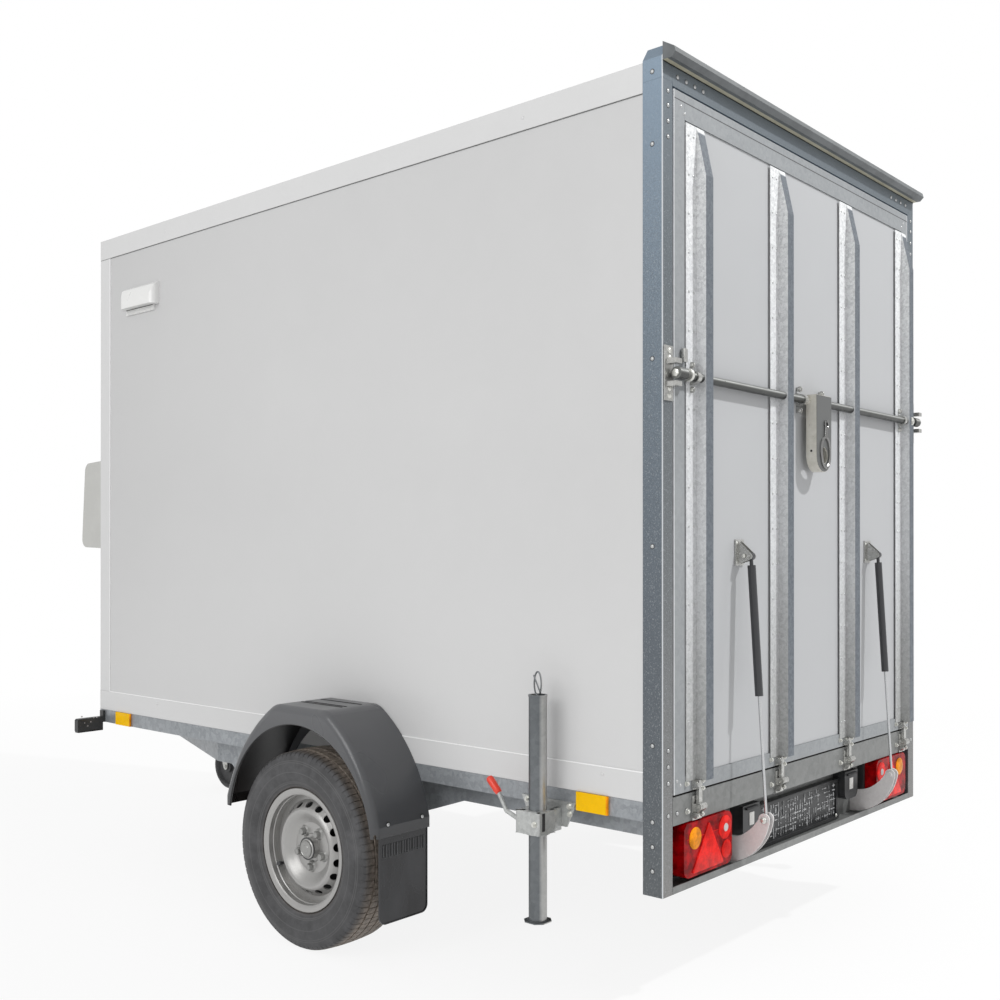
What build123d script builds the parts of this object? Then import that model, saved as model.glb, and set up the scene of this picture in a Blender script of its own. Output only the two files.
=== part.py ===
from build123d import *
import math
import os

os.makedirs("parts", exist_ok=True)

# Enclosed cargo trailer, in millimetres. +X is the trailer's left, +Y its rear, +Z up.
# The origin is on the ground, under the middle of the whole trailer.

# Body
body_width = 1559
box_length = 2632
panel = 25
ground_to_rail = 514
rail_height = 48
rail_width = 40
rail_gauge = 3
trim_height = 74
body_top = 2398
roof_rail_height = 76
roof_thickness = 28
corner_band = 70
wall_inset = 2
bead = 1.2
floor_thickness = 12
seam = 0.4
cross_width = 40
cross_count = 6

# Rear portal and ramp
post_width = 45
post_depth = 58.5
post_bottom = 334
portal_top = 2390
ramp_top = 2340
cap_joint = 2348
cap_top = 2436
gutter_height = 26
gutter_reach = 38
gutter_lap = 20
running_gap = 5
sill_top = 574
sill_height = 71
sheet = 4
ramp_thickness = 30
ramp_inset = 4
frame_side = 50
frame_top = 65
frame_bottom = 40

# Ramp stiffeners, Z sections of bent sheet
rib_flange = 50
rib_crown = 35
rib_depth = 30
rib_gauge = 2.5
rib_start = 31
rib_end = 70
rib_taper = 126
rib_insets = (103, 539, 977, 1403)

# Hinges and lock bar
hinge_pin_radius = 5
hinge_reach = 15
hinge_drop = 36
hinge_ear_radius = 9.5
hinge_ear = 6
hinge_barrel = 16
hinge_leaf = 44
leaf_gauge = 5
plate_gauge = 3
bar_radius = 11
bar_height = 1624
bar_reach = 15
cam_radius = 15
cam_shift = 8
cam_outset = 19
cam_inset = 12
keeper_half = 68
keeper_gauge = 4
keeper_lug = 12
keeper_gap = 7
keeper_margin = 6
handle_half = 48
handle_drop = 160
handle_rise = 16
handle_front = 46
handle_back = 14
handle_sheet = 3
bearing_spread = 70
bearing_half = 8
bearing_radius = 20

# Gas struts
strut_inset = 373
strut_top = 1171
strut_reach = 34
strut_pin_reach = 79
strut_pin_height = 476
cylinder_radius = 11
cylinder_length = 372
rod_radius = 4
rod_bore_radius = 4.06
eye_radius = 10
eye_width = 14
arm_gap = 9
arm_gauge = 4
arm_tip_radius = 16

# Lamps and plate
bay_floor = 340
bay_lip = 352
bumper_gauge = 3
lamp_width = 234
lamp_height = 138
lamp_depth = 62
lamp_inset = 86
lamp_middle = 431
lamp_corner = 24
plate_width = 538
plate_height = 125
plate_depth = 18
plate_rim = 12
plate_lift = 3
plate_lamp_spread = 317
plate_lamp_half = 46
plate_lamp_reach = 40
plate_lamp_span = (400, 487)

# Wheels
wheel_setback = 1153
wheel_outset = 113
tyre_radius = 295
tyre_width = 185
rim_radius = 182.5
rim_width = 154
bead_seat = 165
tyre_crown = 70
tyre_flat = 40
shoulder = 82
# Section of the rim, as (across, drop below the rim's edge)
rim_line = (
    (-77, 0), (-72.5, 0), (-71, 17), (-40, 17), (-28, 30.5), (8, 30.5), (22, 17), (71, 17),
    (72.5, 0), (77, 0), (74, 21), (24, 21), (10, 34.5), (-30, 34.5), (-42, 21), (-74, 21),
)
# Section of the disc, as (out from its seat, drop below the rim's edge)
disc_line = (
    (0, 151), (4, 151), (4, 106), (20, 84), (25, 60), (16, 20.7),
    (10, 20.7), (20, 60), (16, 82), (0, 103),
)
disc_offset = 30
hub_bore = 31
drum_reach = 100
bolt_radius = 9.5
bolt_reach = 16
bolt_circle = 112
bolt_count = 5
vent_count = 20
vent_circle = 139
vent_radius = 11
axle_square = 60
arm_reach = 130
arm_drop = 72
arm_gauge_x = 20
arm_root_radius = 40
arm_end_radius = 30
stub_radius = 15
stub_clearance = 0.06

# Fender and flap
fender_width = 213
fender_skin = 4
fender_round = 22
fender_feet = (-352, 348)
fender_foot_height = 90
fender_flat = (-110, 130)
fender_height = 427
fender_bulge = (-255, 268, 300)
fender_corner = 70
arch_feet = (-325, 330)
arch_top = (6, 376)
flap_bottom = 142
flap_width = 186
flap_inset = 6
flap_skin = 4
flap_lap = 30

# Reflectors, marker lamps, vent and cabinet
reflector_setback = 213
reflector_ahead = 174
reflector_half = 50
reflector_gauge = 7
marker_start = 14
marker_depth = 24
marker_arm = 10
marker_reach = 115
marker_span = (484, 536)
vent_ahead = 410
vent_length = 222
vent_reach = 35
vent_bottom = 2100
vent_height = 84
vent_base = 6
vent_lip = 20
cabinet_inset = 60
cabinet_width = 390
cabinet_bottom = 1190
cabinet_top = 1550
cabinet_depth = 226
cabinet_foot = 252
cabinet_corner = 34

# Drawbar and chassis beams
beam_height = 100
beam_width = 45
beam_angle = 21
beam_apex = 1106
coupling_reach = 1266
coupling_nose = 60
head_width = 70
ball_radius = 25
ball_clearance = 0.5
ball_height = 440
chassis_beam_height = 58
chassis_beam_width = 40
chassis_beam_half = 700
gusset_height = 54
gusset_slope = 160
gusset_ahead = 690
gusset_behind = 250
beam_end_ahead = 850

# Prop stands
prop_setback = 343
prop_outset = 65
prop_radius = 24
prop_foot = 222
prop_top = 810
foot_half = 31
foot_gauge = 6
loop_length = 80
loop_width = 42
loop_gauge = 10
clamp_bottom = 452
clamp_height = 62
clamp_wall = 8
slide_clearance = 0.4
bracket_gauge = 6
bracket_top = 531
bracket_bottom = 465
bracket_ahead = 105
bracket_behind = 78
bracket_slope = 30
lever_radius = 6
grip_radius = 9
lever_points = ((22, -24, 478), (18, -92, 500), (18, -120, 545))
grip_end = (18, -152, 578)

# Jockey wheel
jockey_ahead = 681.5
jockey_across = 290
jockey_wheel_radius = 110
jockey_wheel_width = 60
jockey_rim_radius = 88
jockey_trail = 45
jockey_tube_radius = 24
jockey_inner_radius = 20
jockey_tube_bottom = 445
jockey_tube_top = 790
jockey_inner_top = 580
jockey_head = 26
jockey_axle_radius = 8
fork_gauge = 4
fork_gap = 5
crank_reach = 110
crank_rise = 22
crank_grip = 80

# Places worked out from the sizes
side_x = body_width / 2
rear_reach = strut_pin_reach + arm_tip_radius
rear_y = (box_length + coupling_reach + coupling_nose - rear_reach) / 2
front_y = rear_y - box_length
post_y = rear_y - post_depth
post_x = side_x - post_width
rail_top = ground_to_rail + rail_height
trim_top = rail_top + trim_height
roof_joint = body_top - roof_rail_height
wall_x = side_x - wall_inset
hinge_y = rear_y + hinge_reach
hinge_z = sill_top - hinge_drop
ramp_bottom = sill_top + running_gap
ramp_x = post_x - running_gap
ramp_high = ramp_top - running_gap
ramp_in = rear_y - ramp_thickness
wheel_x = side_x + wheel_outset
wheel_y = rear_y - wheel_setback
sill_bottom = sill_top - sill_height
bay_face = post_y + bumper_gauge
coupling_y = front_y - coupling_reach
apex_y = front_y - beam_apex
beam_bottom = ground_to_rail - beam_height
chassis_bottom = ground_to_rail - chassis_beam_height

pieces = {}


def block(x, y, z, mode=Mode.ADD):
    """A block between two corners, each axis given as (low, high)."""
    with Locations((sum(x) / 2, sum(y) / 2, sum(z) / 2)):
        Box(x[1] - x[0], y[1] - y[0], z[1] - z[0], mode=mode)


def rod(start, end, radius, mode=Mode.ADD):
    """A round bar from one point to another."""
    run = Vector(*end) - Vector(*start)
    with Locations(Plane(origin=start, z_dir=run)):
        Cylinder(radius, run.length, align=(Align.CENTER, Align.CENTER, Align.MIN), mode=mode)


# Chassis
with BuildPart() as side_rails:
    block((side_x - rail_width, side_x), (front_y, post_y - seam), (ground_to_rail, rail_top))
    block(
        (side_x - rail_width - 1, side_x - rail_gauge),
        (front_y - 1, post_y + 1),
        (ground_to_rail + rail_gauge, rail_top - rail_gauge),
        mode=Mode.SUBTRACT,
    )
    mirror(about=Plane.YZ)
pieces["side_rails"] = side_rails

cross_half = side_x - rail_width - seam
cross_step = (box_length - post_depth - cross_width - seam) / (cross_count - 1)
with BuildPart() as cross_members:
    for index in range(cross_count):
        start = front_y + index * cross_step
        block((-cross_half, cross_half), (start, start + cross_width), (ground_to_rail, rail_top))
pieces["cross_members"] = cross_members

# Chassis beams, each with a gusset under its front half that carries the axle
beam_front = wheel_y - beam_end_ahead
gusset_front = wheel_y - gusset_ahead
gusset_rear = wheel_y + gusset_behind
gusset_bottom = chassis_bottom - gusset_height
with BuildPart() as chassis_beams:
    with BuildSketch(Plane.YZ.offset(chassis_beam_half - chassis_beam_width)):
        with BuildLine():
            Polyline(
                (beam_front, ground_to_rail),
                (gusset_front, gusset_bottom),
                (gusset_rear, gusset_bottom),
                (gusset_rear + gusset_slope, chassis_bottom),
                (post_y - seam, chassis_bottom),
                (post_y - seam, ground_to_rail),
                close=True,
            )
        make_face()
    extrude(amount=chassis_beam_width)
    mirror(about=Plane.YZ)
pieces["chassis_beams"] = chassis_beams

# Drawbar: two beams that run from between the chassis beams to a point ahead of the body
beam_spread = math.tan(math.radians(beam_angle))
beam_side = beam_width / math.cos(math.radians(beam_angle))
beam_end_x = chassis_beam_half - chassis_beam_width - seam
beam_nose_x = seam
with BuildPart() as drawbar_beams:
    with BuildSketch(Plane.XY.offset(beam_bottom)):
        with BuildLine():
            Polyline(
                (beam_nose_x, apex_y),
                (beam_end_x, apex_y + (beam_end_x - beam_nose_x) / beam_spread),
                (beam_end_x, apex_y + (beam_end_x - beam_nose_x + beam_side) / beam_spread),
                (beam_nose_x, apex_y + beam_side / beam_spread),
                close=True,
            )
        make_face()
    extrude(amount=beam_height)
    mirror(about=Plane.YZ)
pieces["drawbar_beams"] = drawbar_beams

# Coupling head: a pressed body over the beams' nose, a socket for the ball and a handle on top
head_top = ball_height + 62
head_bottom = ball_height - 12
socket_radius = ball_radius + ball_clearance
with BuildPart() as coupling_head:
    with BuildSketch(Plane.YZ.offset(-head_width / 2)):
        with BuildLine():
            Polyline(
                (apex_y - seam, beam_bottom),
                (apex_y - seam, ground_to_rail - 8),
                (coupling_y + 40, head_top),
                (coupling_y - coupling_nose + 18, ball_height + 48),
                (coupling_y - coupling_nose, ball_height + 20),
                (coupling_y - coupling_nose, head_bottom),
                (coupling_y + 45, head_bottom),
                close=True,
            )
        make_face()
    extrude(amount=head_width)
    fillet(coupling_head.faces().sort_by(Axis.Y)[0].edges().filter_by(Axis.Z), head_width / 3)
    with BuildSketch(Plane.YZ.offset(-head_width / 4)):
        with BuildLine():
            Polyline(
                (coupling_y - 20, head_top - 20),
                (coupling_y + 10, head_top + 30),
                (coupling_y + 150, head_top + 48),
                (coupling_y + 150, head_top + 38),
                (coupling_y + 30, head_top + 12),
                (coupling_y + 30, head_top - 20),
                close=True,
            )
        make_face()
    extrude(amount=head_width / 2)
    with Locations((0, coupling_y, ball_height)):
        Sphere(socket_radius, mode=Mode.SUBTRACT)
    with BuildSketch(Plane.XY.offset(head_bottom - 1)):
        with Locations((0, coupling_y)):
            Circle(socket_radius)
    extrude(amount=ball_height - head_bottom + 1, mode=Mode.SUBTRACT)
pieces["coupling_head"] = coupling_head

# Torsion axle: square beam under the gussets, swing arms and stub axles
axle_y = wheel_y - arm_reach
axle_z = tyre_radius + arm_drop
axle_half = axle_square / 2
arm_inner = chassis_beam_half + 20
arm_outer = arm_inner + arm_gauge_x
with BuildPart() as torsion_axle:
    block(
        (-arm_inner, arm_inner),
        (axle_y - axle_half, axle_y + axle_half),
        (axle_z - axle_half, axle_z + axle_half),
    )
    for side in (1, -1):
        block(
            sorted((side * (chassis_beam_half - chassis_beam_width), side * chassis_beam_half)),
            (axle_y - axle_square, axle_y + axle_square),
            (axle_z + axle_half, gusset_bottom - seam),
        )
        with BuildSketch(Plane.YZ.offset(side * arm_inner)):
            with Locations((axle_y, axle_z)):
                Circle(arm_root_radius)
            with Locations((wheel_y, tyre_radius)):
                Circle(arm_end_radius)
            make_hull()
        extrude(amount=side * arm_gauge_x)
        rod(
            (side * arm_outer, wheel_y, tyre_radius),
            (side * (wheel_x + disc_offset + 10), wheel_y, tyre_radius),
            stub_radius,
        )
pieces["torsion_axle"] = torsion_axle

# Floor and body panels; the profiles stand proud of the walls and have a rounded edge
with BuildPart() as floor:
    block(
        (-side_x + panel + seam, side_x - panel - seam),
        (front_y + panel + seam, ramp_in - running_gap),
        (rail_top, rail_top + floor_thickness),
    )
    for side in (1, -1):
        block(
            sorted((side * (post_x - seam), side * side_x)),
            (post_y - seam, rear_y),
            (rail_top - 1, rail_top + floor_thickness + 1),
            mode=Mode.SUBTRACT,
        )
pieces["floor"] = floor

with BuildPart() as side_walls:
    block(
        (side_x - panel, wall_x),
        (front_y + corner_band + seam, post_y - seam),
        (trim_top + seam, roof_joint - seam),
    )
    mirror(about=Plane.YZ)
pieces["side_walls"] = side_walls

with BuildPart() as front_wall:
    block(
        (-side_x + corner_band + seam, side_x - corner_band - seam),
        (front_y + wall_inset, front_y + panel),
        (trim_top + seam, roof_joint - seam),
    )
pieces["front_wall"] = front_wall

with BuildPart() as roof:
    block(
        (-side_x + rail_width + seam, side_x - rail_width - seam),
        (front_y + rail_width + seam, post_y - seam),
        (body_top - roof_thickness, body_top - 2),
    )
pieces["roof"] = roof

with BuildPart() as roof_rails:
    block((side_x - rail_width, side_x), (front_y, post_y - seam), (roof_joint, body_top))
    chamfer(roof_rails.edges().filter_by(Axis.Y).sort_by(Axis.X)[-2:], bead)
    mirror(about=Plane.YZ)
    block(
        (-side_x + rail_width + seam, side_x - rail_width - seam),
        (front_y, front_y + rail_width),
        (roof_joint, body_top),
    )
pieces["roof_rails"] = roof_rails

with BuildPart() as corner_profiles:
    block(
        (side_x - panel, side_x),
        (front_y, front_y + corner_band),
        (trim_top + seam, roof_joint - seam),
    )
    block(
        (side_x - corner_band, side_x - panel),
        (front_y, front_y + panel),
        (trim_top + seam, roof_joint - seam),
    )
    chamfer(corner_profiles.edges().filter_by(Axis.Z).group_by(Axis.X)[-1], bead)
    mirror(about=Plane.YZ)
pieces["corner_profiles"] = corner_profiles

with BuildPart() as bottom_trims:
    block((side_x - panel, side_x), (front_y, post_y - seam), (rail_top, trim_top))
    chamfer(bottom_trims.edges().filter_by(Axis.Y).sort_by(Axis.X)[-2:], bead)
    mirror(about=Plane.YZ)
    block(
        (-side_x + panel + seam, side_x - panel - seam),
        (front_y, front_y + panel),
        (rail_top, trim_top),
    )
pieces["bottom_trims"] = bottom_trims

# Rear portal
with BuildPart() as rear_portal:
    block((post_x, side_x), (post_y, rear_y), (post_bottom, cap_joint))
    chamfer(rear_portal.edges().filter_by(Axis.Z).group_by(Axis.Y)[-1], bead)
    mirror(about=Plane.YZ)
    block((-post_x + seam, post_x - seam), (post_y, rear_y), (ramp_top, portal_top))
pieces["rear_portal"] = rear_portal

cap_bevel = 22
cap_side_top = cap_top - 34
with BuildPart() as corner_caps:
    with BuildSketch(Plane.XZ.offset(-rear_y)):
        with BuildLine():
            Polyline(
                (post_x, cap_joint + seam),
                (side_x, cap_joint + seam),
                (side_x, cap_side_top),
                (side_x - cap_bevel, cap_top),
                (post_x, cap_top),
                close=True,
            )
        make_face()
    extrude(amount=post_depth)
    mirror(about=Plane.YZ)
pieces["corner_caps"] = corner_caps

# Rain gutter: a nose over the portal's whole width, and a foot on the roof between the caps
gutter_low = portal_top + seam
with BuildPart() as rain_gutter:
    with BuildSketch(Plane.YZ.offset(-side_x)):
        with BuildLine():
            Polyline(
                (rear_y + seam, gutter_low),
                (rear_y + gutter_reach - 12, gutter_low),
                (rear_y + gutter_reach, portal_top + 12),
                (rear_y + gutter_reach - 4, portal_top + gutter_height),
                (rear_y + seam, cap_top),
                close=True,
            )
        make_face()
    extrude(amount=body_width)
    with BuildSketch(Plane.YZ.offset(-post_x + seam)):
        with BuildLine():
            Polyline(
                (post_y - gutter_lap, body_top + seam),
                (post_y - seam, body_top + seam),
                (post_y - seam, gutter_low),
                (rear_y + seam, gutter_low),
                (rear_y + seam, cap_top),
                (post_y - gutter_lap, cap_top - 8),
                close=True,
            )
        make_face()
    extrude(amount=2 * (post_x - seam))
pieces["rain_gutter"] = rain_gutter

with BuildPart() as rear_sill:
    block((-post_x + seam, post_x - seam), (rear_y - sheet, rear_y), (sill_bottom, sill_top))
    block(
        (-post_x + seam, post_x - seam),
        (post_y, rear_y - sheet),
        (sill_bottom, sill_bottom + sheet),
    )
pieces["rear_sill"] = rear_sill

with BuildPart() as lamp_bay:
    for across, along, up in (
        ((-post_x + seam, post_x - seam), (post_y, bay_face), (post_bottom, sill_bottom - seam)),
        ((-post_x + seam, post_x - seam), (bay_face, rear_y), (bay_floor - bumper_gauge, bay_floor)),
        ((-post_x + seam, post_x - seam), (rear_y - bumper_gauge, rear_y), (post_bottom, bay_lip)),
    ):
        block(across, along, up)
pieces["lamp_bay"] = lamp_bay

# Rear lamps, plate holder and plate lamps stand in the bay on its back plate
with BuildPart() as rear_lamps:
    block(
        (side_x - lamp_inset - lamp_width, side_x - lamp_inset),
        (bay_face, bay_face + lamp_depth),
        (lamp_middle - lamp_height / 2, lamp_middle + lamp_height / 2),
    )
    fillet(rear_lamps.edges().filter_by(Axis.Y), lamp_corner)
    mirror(about=Plane.YZ)
pieces["rear_lamps"] = rear_lamps

plate_bottom = bay_floor + plate_lift
plate_dip = plate_depth / 3
with BuildPart() as plate_holder:
    block(
        (-plate_width / 2, plate_width / 2),
        (bay_face, bay_face + plate_depth),
        (plate_bottom, plate_bottom + plate_height),
    )
    block(
        (-plate_width / 2 + plate_rim, plate_width / 2 - plate_rim),
        (bay_face + plate_depth - plate_dip, bay_face + plate_depth + 1),
        (plate_bottom + plate_rim, plate_bottom + plate_height - plate_rim),
        mode=Mode.SUBTRACT,
    )
pieces["plate_holder"] = plate_holder

with BuildPart() as plate_lamps:
    block(
        (plate_lamp_spread - plate_lamp_half, plate_lamp_spread + plate_lamp_half),
        (bay_face, bay_face + plate_lamp_reach),
        plate_lamp_span,
    )
    fillet(plate_lamps.edges().filter_by(Axis.Y).group_by(Axis.Z)[0], plate_lamp_half / 2)
    mirror(about=Plane.YZ)
pieces["plate_lamps"] = plate_lamps

# Crescent arms carry the struts' lower ends: a pair of plates each, with a bolt head outside
pin_y = rear_y + strut_pin_reach
strut_x = side_x - strut_inset
arm_root = (bay_floor + 4, bay_floor + 68)
arm_bolt_radius = 7
arm_bolt_head = 6
arm_starts = (arm_gap, -arm_gap - arm_gauge)
with BuildPart() as strut_arms:
    for start in arm_starts:
        with BuildSketch(Plane.YZ.offset(strut_x + start)):
            with BuildLine():
                TangentArc(
                    (bay_face, arm_root[0]),
                    (pin_y + arm_tip_radius, strut_pin_height),
                    tangent=(1, 0),
                )
                ThreePointArc(
                    (pin_y + arm_tip_radius, strut_pin_height),
                    (pin_y, strut_pin_height + arm_tip_radius),
                    (pin_y - arm_tip_radius, strut_pin_height),
                )
                TangentArc(
                    (bay_face, arm_root[1]),
                    (pin_y - arm_tip_radius, strut_pin_height),
                    tangent=(1, 0),
                )
                Line((bay_face, arm_root[1]), (bay_face, arm_root[0]))
            make_face()
        extrude(amount=arm_gauge)
    for start in (arm_gap + arm_gauge, -arm_gap - arm_gauge - arm_bolt_head):
        rod(
            (strut_x + start, pin_y, strut_pin_height),
            (strut_x + start + arm_bolt_head, pin_y, strut_pin_height),
            arm_bolt_radius,
        )
    mirror(about=Plane.YZ)
pieces["strut_arms"] = strut_arms

# Lock keepers on the posts: a plate with a lug above and a lug below the cam
lug_reach = bar_reach + cam_shift + cam_radius - 4
with BuildPart() as lock_keepers:
    block(
        (post_x + keeper_gauge, side_x - keeper_gauge),
        (rear_y, rear_y + keeper_gauge),
        (bar_height - keeper_half, bar_height + keeper_half),
    )
    for low in (bar_height + cam_radius + keeper_gap, bar_height - cam_radius - keeper_gap - keeper_lug):
        block(
            (post_x + keeper_gauge + keeper_margin, side_x - keeper_gauge - keeper_margin),
            (rear_y + keeper_gauge, rear_y + lug_reach),
            (low, low + keeper_lug),
        )
    mirror(about=Plane.YZ)
pieces["lock_keepers"] = lock_keepers

# Ramp
rail_end = ramp_x - frame_side - seam
with BuildPart() as ramp_frame:
    block((ramp_x - frame_side, ramp_x), (ramp_in, rear_y), (ramp_bottom, ramp_high))
    mirror(about=Plane.YZ)
    block((-rail_end, rail_end), (ramp_in, rear_y), (ramp_bottom, ramp_bottom + frame_bottom))
    block((-rail_end, rail_end), (ramp_in, rear_y), (ramp_high - frame_top, ramp_high))
pieces["ramp_frame"] = ramp_frame

panel_face = rear_y - ramp_inset
with BuildPart() as ramp_panel:
    block(
        (-rail_end, rail_end),
        (ramp_in, panel_face),
        (ramp_bottom + frame_bottom + seam, ramp_high - frame_top - seam),
    )
pieces["ramp_panel"] = ramp_panel

# Each stiffener has a flange on the ramp, a web and an outer flange that slopes in at its top
rib_low = ramp_bottom + rib_start - running_gap
rib_high = ramp_high - rib_end
rib_knee = rib_high - rib_taper
rib_out = rear_y + rib_depth
rib_turn = math.atan((rib_depth - rib_gauge) / rib_taper)
rib_miter = rib_gauge * math.tan(rib_turn / 2)
with BuildPart() as ramp_stiffeners:
    for inset in rib_insets:
        left = side_x - inset
        web = left - rib_flange
        block((web, left), (rear_y, rear_y + rib_gauge), (rib_low, rib_high))
        with BuildSketch(Plane.YZ.offset(web - rib_gauge)):
            with BuildLine():
                Polyline(
                    (rear_y, rib_low), (rib_out, rib_low), (rib_out, rib_knee),
                    (rear_y + rib_gauge, rib_high), (rear_y, rib_high),
                    close=True,
                )
            make_face()
        extrude(amount=rib_gauge)
        with BuildSketch(Plane.YZ.offset(web - rib_crown)):
            with BuildLine():
                Polyline(
                    (rib_out - rib_gauge, rib_low), (rib_out, rib_low), (rib_out, rib_knee),
                    (rear_y + rib_gauge, rib_high), (rear_y, rib_high - rib_miter),
                    (rib_out - rib_gauge, rib_knee - rib_miter),
                    close=True,
                )
            make_face()
        extrude(amount=rib_crown)
    rod(
        (-side_x, rear_y + bar_reach, bar_height),
        (side_x, rear_y + bar_reach, bar_height),
        bar_radius + seam,
        mode=Mode.SUBTRACT,
    )
pieces["ramp_stiffeners"] = ramp_stiffeners

# Lock bar, with an eccentric cam at each end, the handle's channel and its bearings
cam_y = rear_y + bar_reach + cam_shift
handle_low = bar_height - handle_drop
with BuildPart() as lock_bar:
    rod(
        (-ramp_x, rear_y + bar_reach, bar_height),
        (ramp_x, rear_y + bar_reach, bar_height),
        bar_radius,
    )
    for side in (1, -1):
        rod(
            (side * (ramp_x - cam_inset), cam_y, bar_height),
            (side * (post_x + cam_outset), cam_y, bar_height),
            cam_radius,
        )
    with BuildSketch(Plane.XZ.offset(-rear_y - handle_front)):
        with Locations((0, (bar_height + handle_rise + handle_low) / 2)):
            Rectangle(2 * handle_half, bar_height + handle_rise - handle_low)
        with Locations((0, handle_low)):
            Circle(handle_half)
    extrude(amount=handle_front - handle_back)
    with BuildSketch(Plane.XZ.offset(-rear_y - handle_front + handle_sheet)):
        with Locations((0, (bar_height + handle_rise + handle_low) / 2)):
            Rectangle(2 * (handle_half - handle_sheet), bar_height + handle_rise - handle_low)
        with Locations((0, handle_low)):
            Circle(handle_half - handle_sheet)
    extrude(amount=handle_front, mode=Mode.SUBTRACT)
    with BuildSketch(Plane.XZ.offset(-rear_y - handle_front)):
        with Locations((0, handle_low)):
            Circle(handle_half / 2)
    extrude(amount=handle_sheet, mode=Mode.SUBTRACT)
    rod(
        (-handle_half, rear_y + bar_reach, bar_height),
        (handle_half, rear_y + bar_reach, bar_height),
        bar_radius,
    )
pieces["lock_bar"] = lock_bar

# Bearings that hold the bar to the ramp panel, one each side of the handle and near each end
bearing_places = (
    (bearing_spread, panel_face),
    (side_x - rib_insets[0] - rib_flange / 2, rear_y + rib_gauge + seam),
)
with BuildPart() as bar_bearings:
    for middle, seat in bearing_places:
        with BuildSketch(Plane.YZ.offset(middle - bearing_half)):
            with Locations((rear_y + bar_reach, bar_height)):
                Circle(bar_reach - seam)
            with Locations((seat + 1, bar_height)):
                Rectangle(2, 2 * bearing_radius)
            make_hull()
        extrude(amount=2 * bearing_half)
        block(
            (middle - 2 * bearing_half, middle + 2 * bearing_half),
            (ramp_in, seat),
            (bar_height - bearing_radius, bar_height + bearing_radius),
            mode=Mode.SUBTRACT,
        )
    rod(
        (-side_x, rear_y + bar_reach, bar_height),
        (side_x, rear_y + bar_reach, bar_height),
        bar_radius + seam,
        mode=Mode.SUBTRACT,
    )
    mirror(about=Plane.YZ)
pieces["bar_bearings"] = bar_bearings

# Hinges under the gap line: a pin through a moving barrel between two fixed ears
hinge_middles = [side_x - inset - rib_flange for inset in rib_insets]
ear_start = hinge_barrel / 2 + 1
pin_half = ear_start + hinge_ear + 3
with BuildPart() as hinge_sockets:
    for middle in hinge_middles:
        block(
            (middle - hinge_leaf / 2, middle + hinge_leaf / 2),
            (rear_y, rear_y + plate_gauge),
            (sill_bottom, sill_top - hinge_ear_radius),
        )
        for start in (middle + ear_start, middle - ear_start - hinge_ear):
            with BuildSketch(Plane.YZ.offset(start)):
                with Locations((hinge_y, hinge_z)):
                    Circle(hinge_ear_radius)
                with Locations((rear_y + plate_gauge / 2, hinge_z - hinge_ear_radius)):
                    Rectangle(plate_gauge, 3 * hinge_ear_radius)
                make_hull()
            extrude(amount=hinge_ear)
        rod(
            (middle - pin_half, hinge_y, hinge_z),
            (middle + pin_half, hinge_y, hinge_z),
            hinge_pin_radius,
        )
pieces["hinge_sockets"] = hinge_sockets

strap_back = hinge_y - hinge_ear_radius
strap_front = strap_back + 8
with BuildPart() as hinge_eyes:
    for middle in hinge_middles:
        with BuildSketch(Plane.YZ.offset(middle - hinge_barrel / 2)):
            with Locations((hinge_y, hinge_z)):
                Circle(hinge_ear_radius)
            with BuildLine():
                Polyline(
                    (strap_back, hinge_z), (strap_front, hinge_z), (strap_front, rib_low - seam),
                    (rear_y, rib_low - seam), (rear_y, ramp_bottom), (strap_back, ramp_bottom),
                    close=True,
                )
            make_face()
        extrude(amount=hinge_barrel)
        block(
            (middle - hinge_leaf / 2, middle + hinge_leaf / 2),
            (rear_y, rear_y + leaf_gauge),
            (ramp_bottom + 2, rib_low - seam),
        )
        rod(
            (middle - hinge_barrel, hinge_y, hinge_z),
            (middle + hinge_barrel, hinge_y, hinge_z),
            hinge_pin_radius + stub_clearance,
            mode=Mode.SUBTRACT,
        )
pieces["hinge_eyes"] = hinge_eyes

# Strut brackets on the ramp panel
pivot_y = rear_y + strut_reach
bracket_half = 22
bracket_ear = 3
bracket_pin_radius = 4
ear_gap = eye_width / 2 + 1
with BuildPart() as strut_brackets:
    block(
        (strut_x - bracket_half, strut_x + bracket_half),
        (panel_face, rear_y),
        (strut_top - 25, strut_top + 45),
    )
    for start in (ear_gap, -ear_gap - bracket_ear):
        with BuildSketch(Plane.YZ.offset(strut_x + start)):
            with Locations((pivot_y, strut_top)):
                Circle(9)
            with Locations((rear_y + 1, strut_top + 10)):
                Rectangle(2, 60)
            make_hull()
        extrude(amount=bracket_ear)
    rod(
        (strut_x - ear_gap - 2 * bracket_ear, pivot_y, strut_top),
        (strut_x + ear_gap + 2 * bracket_ear, pivot_y, strut_top),
        bracket_pin_radius,
    )
    mirror(about=Plane.YZ)
pieces["strut_brackets"] = strut_brackets

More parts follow.
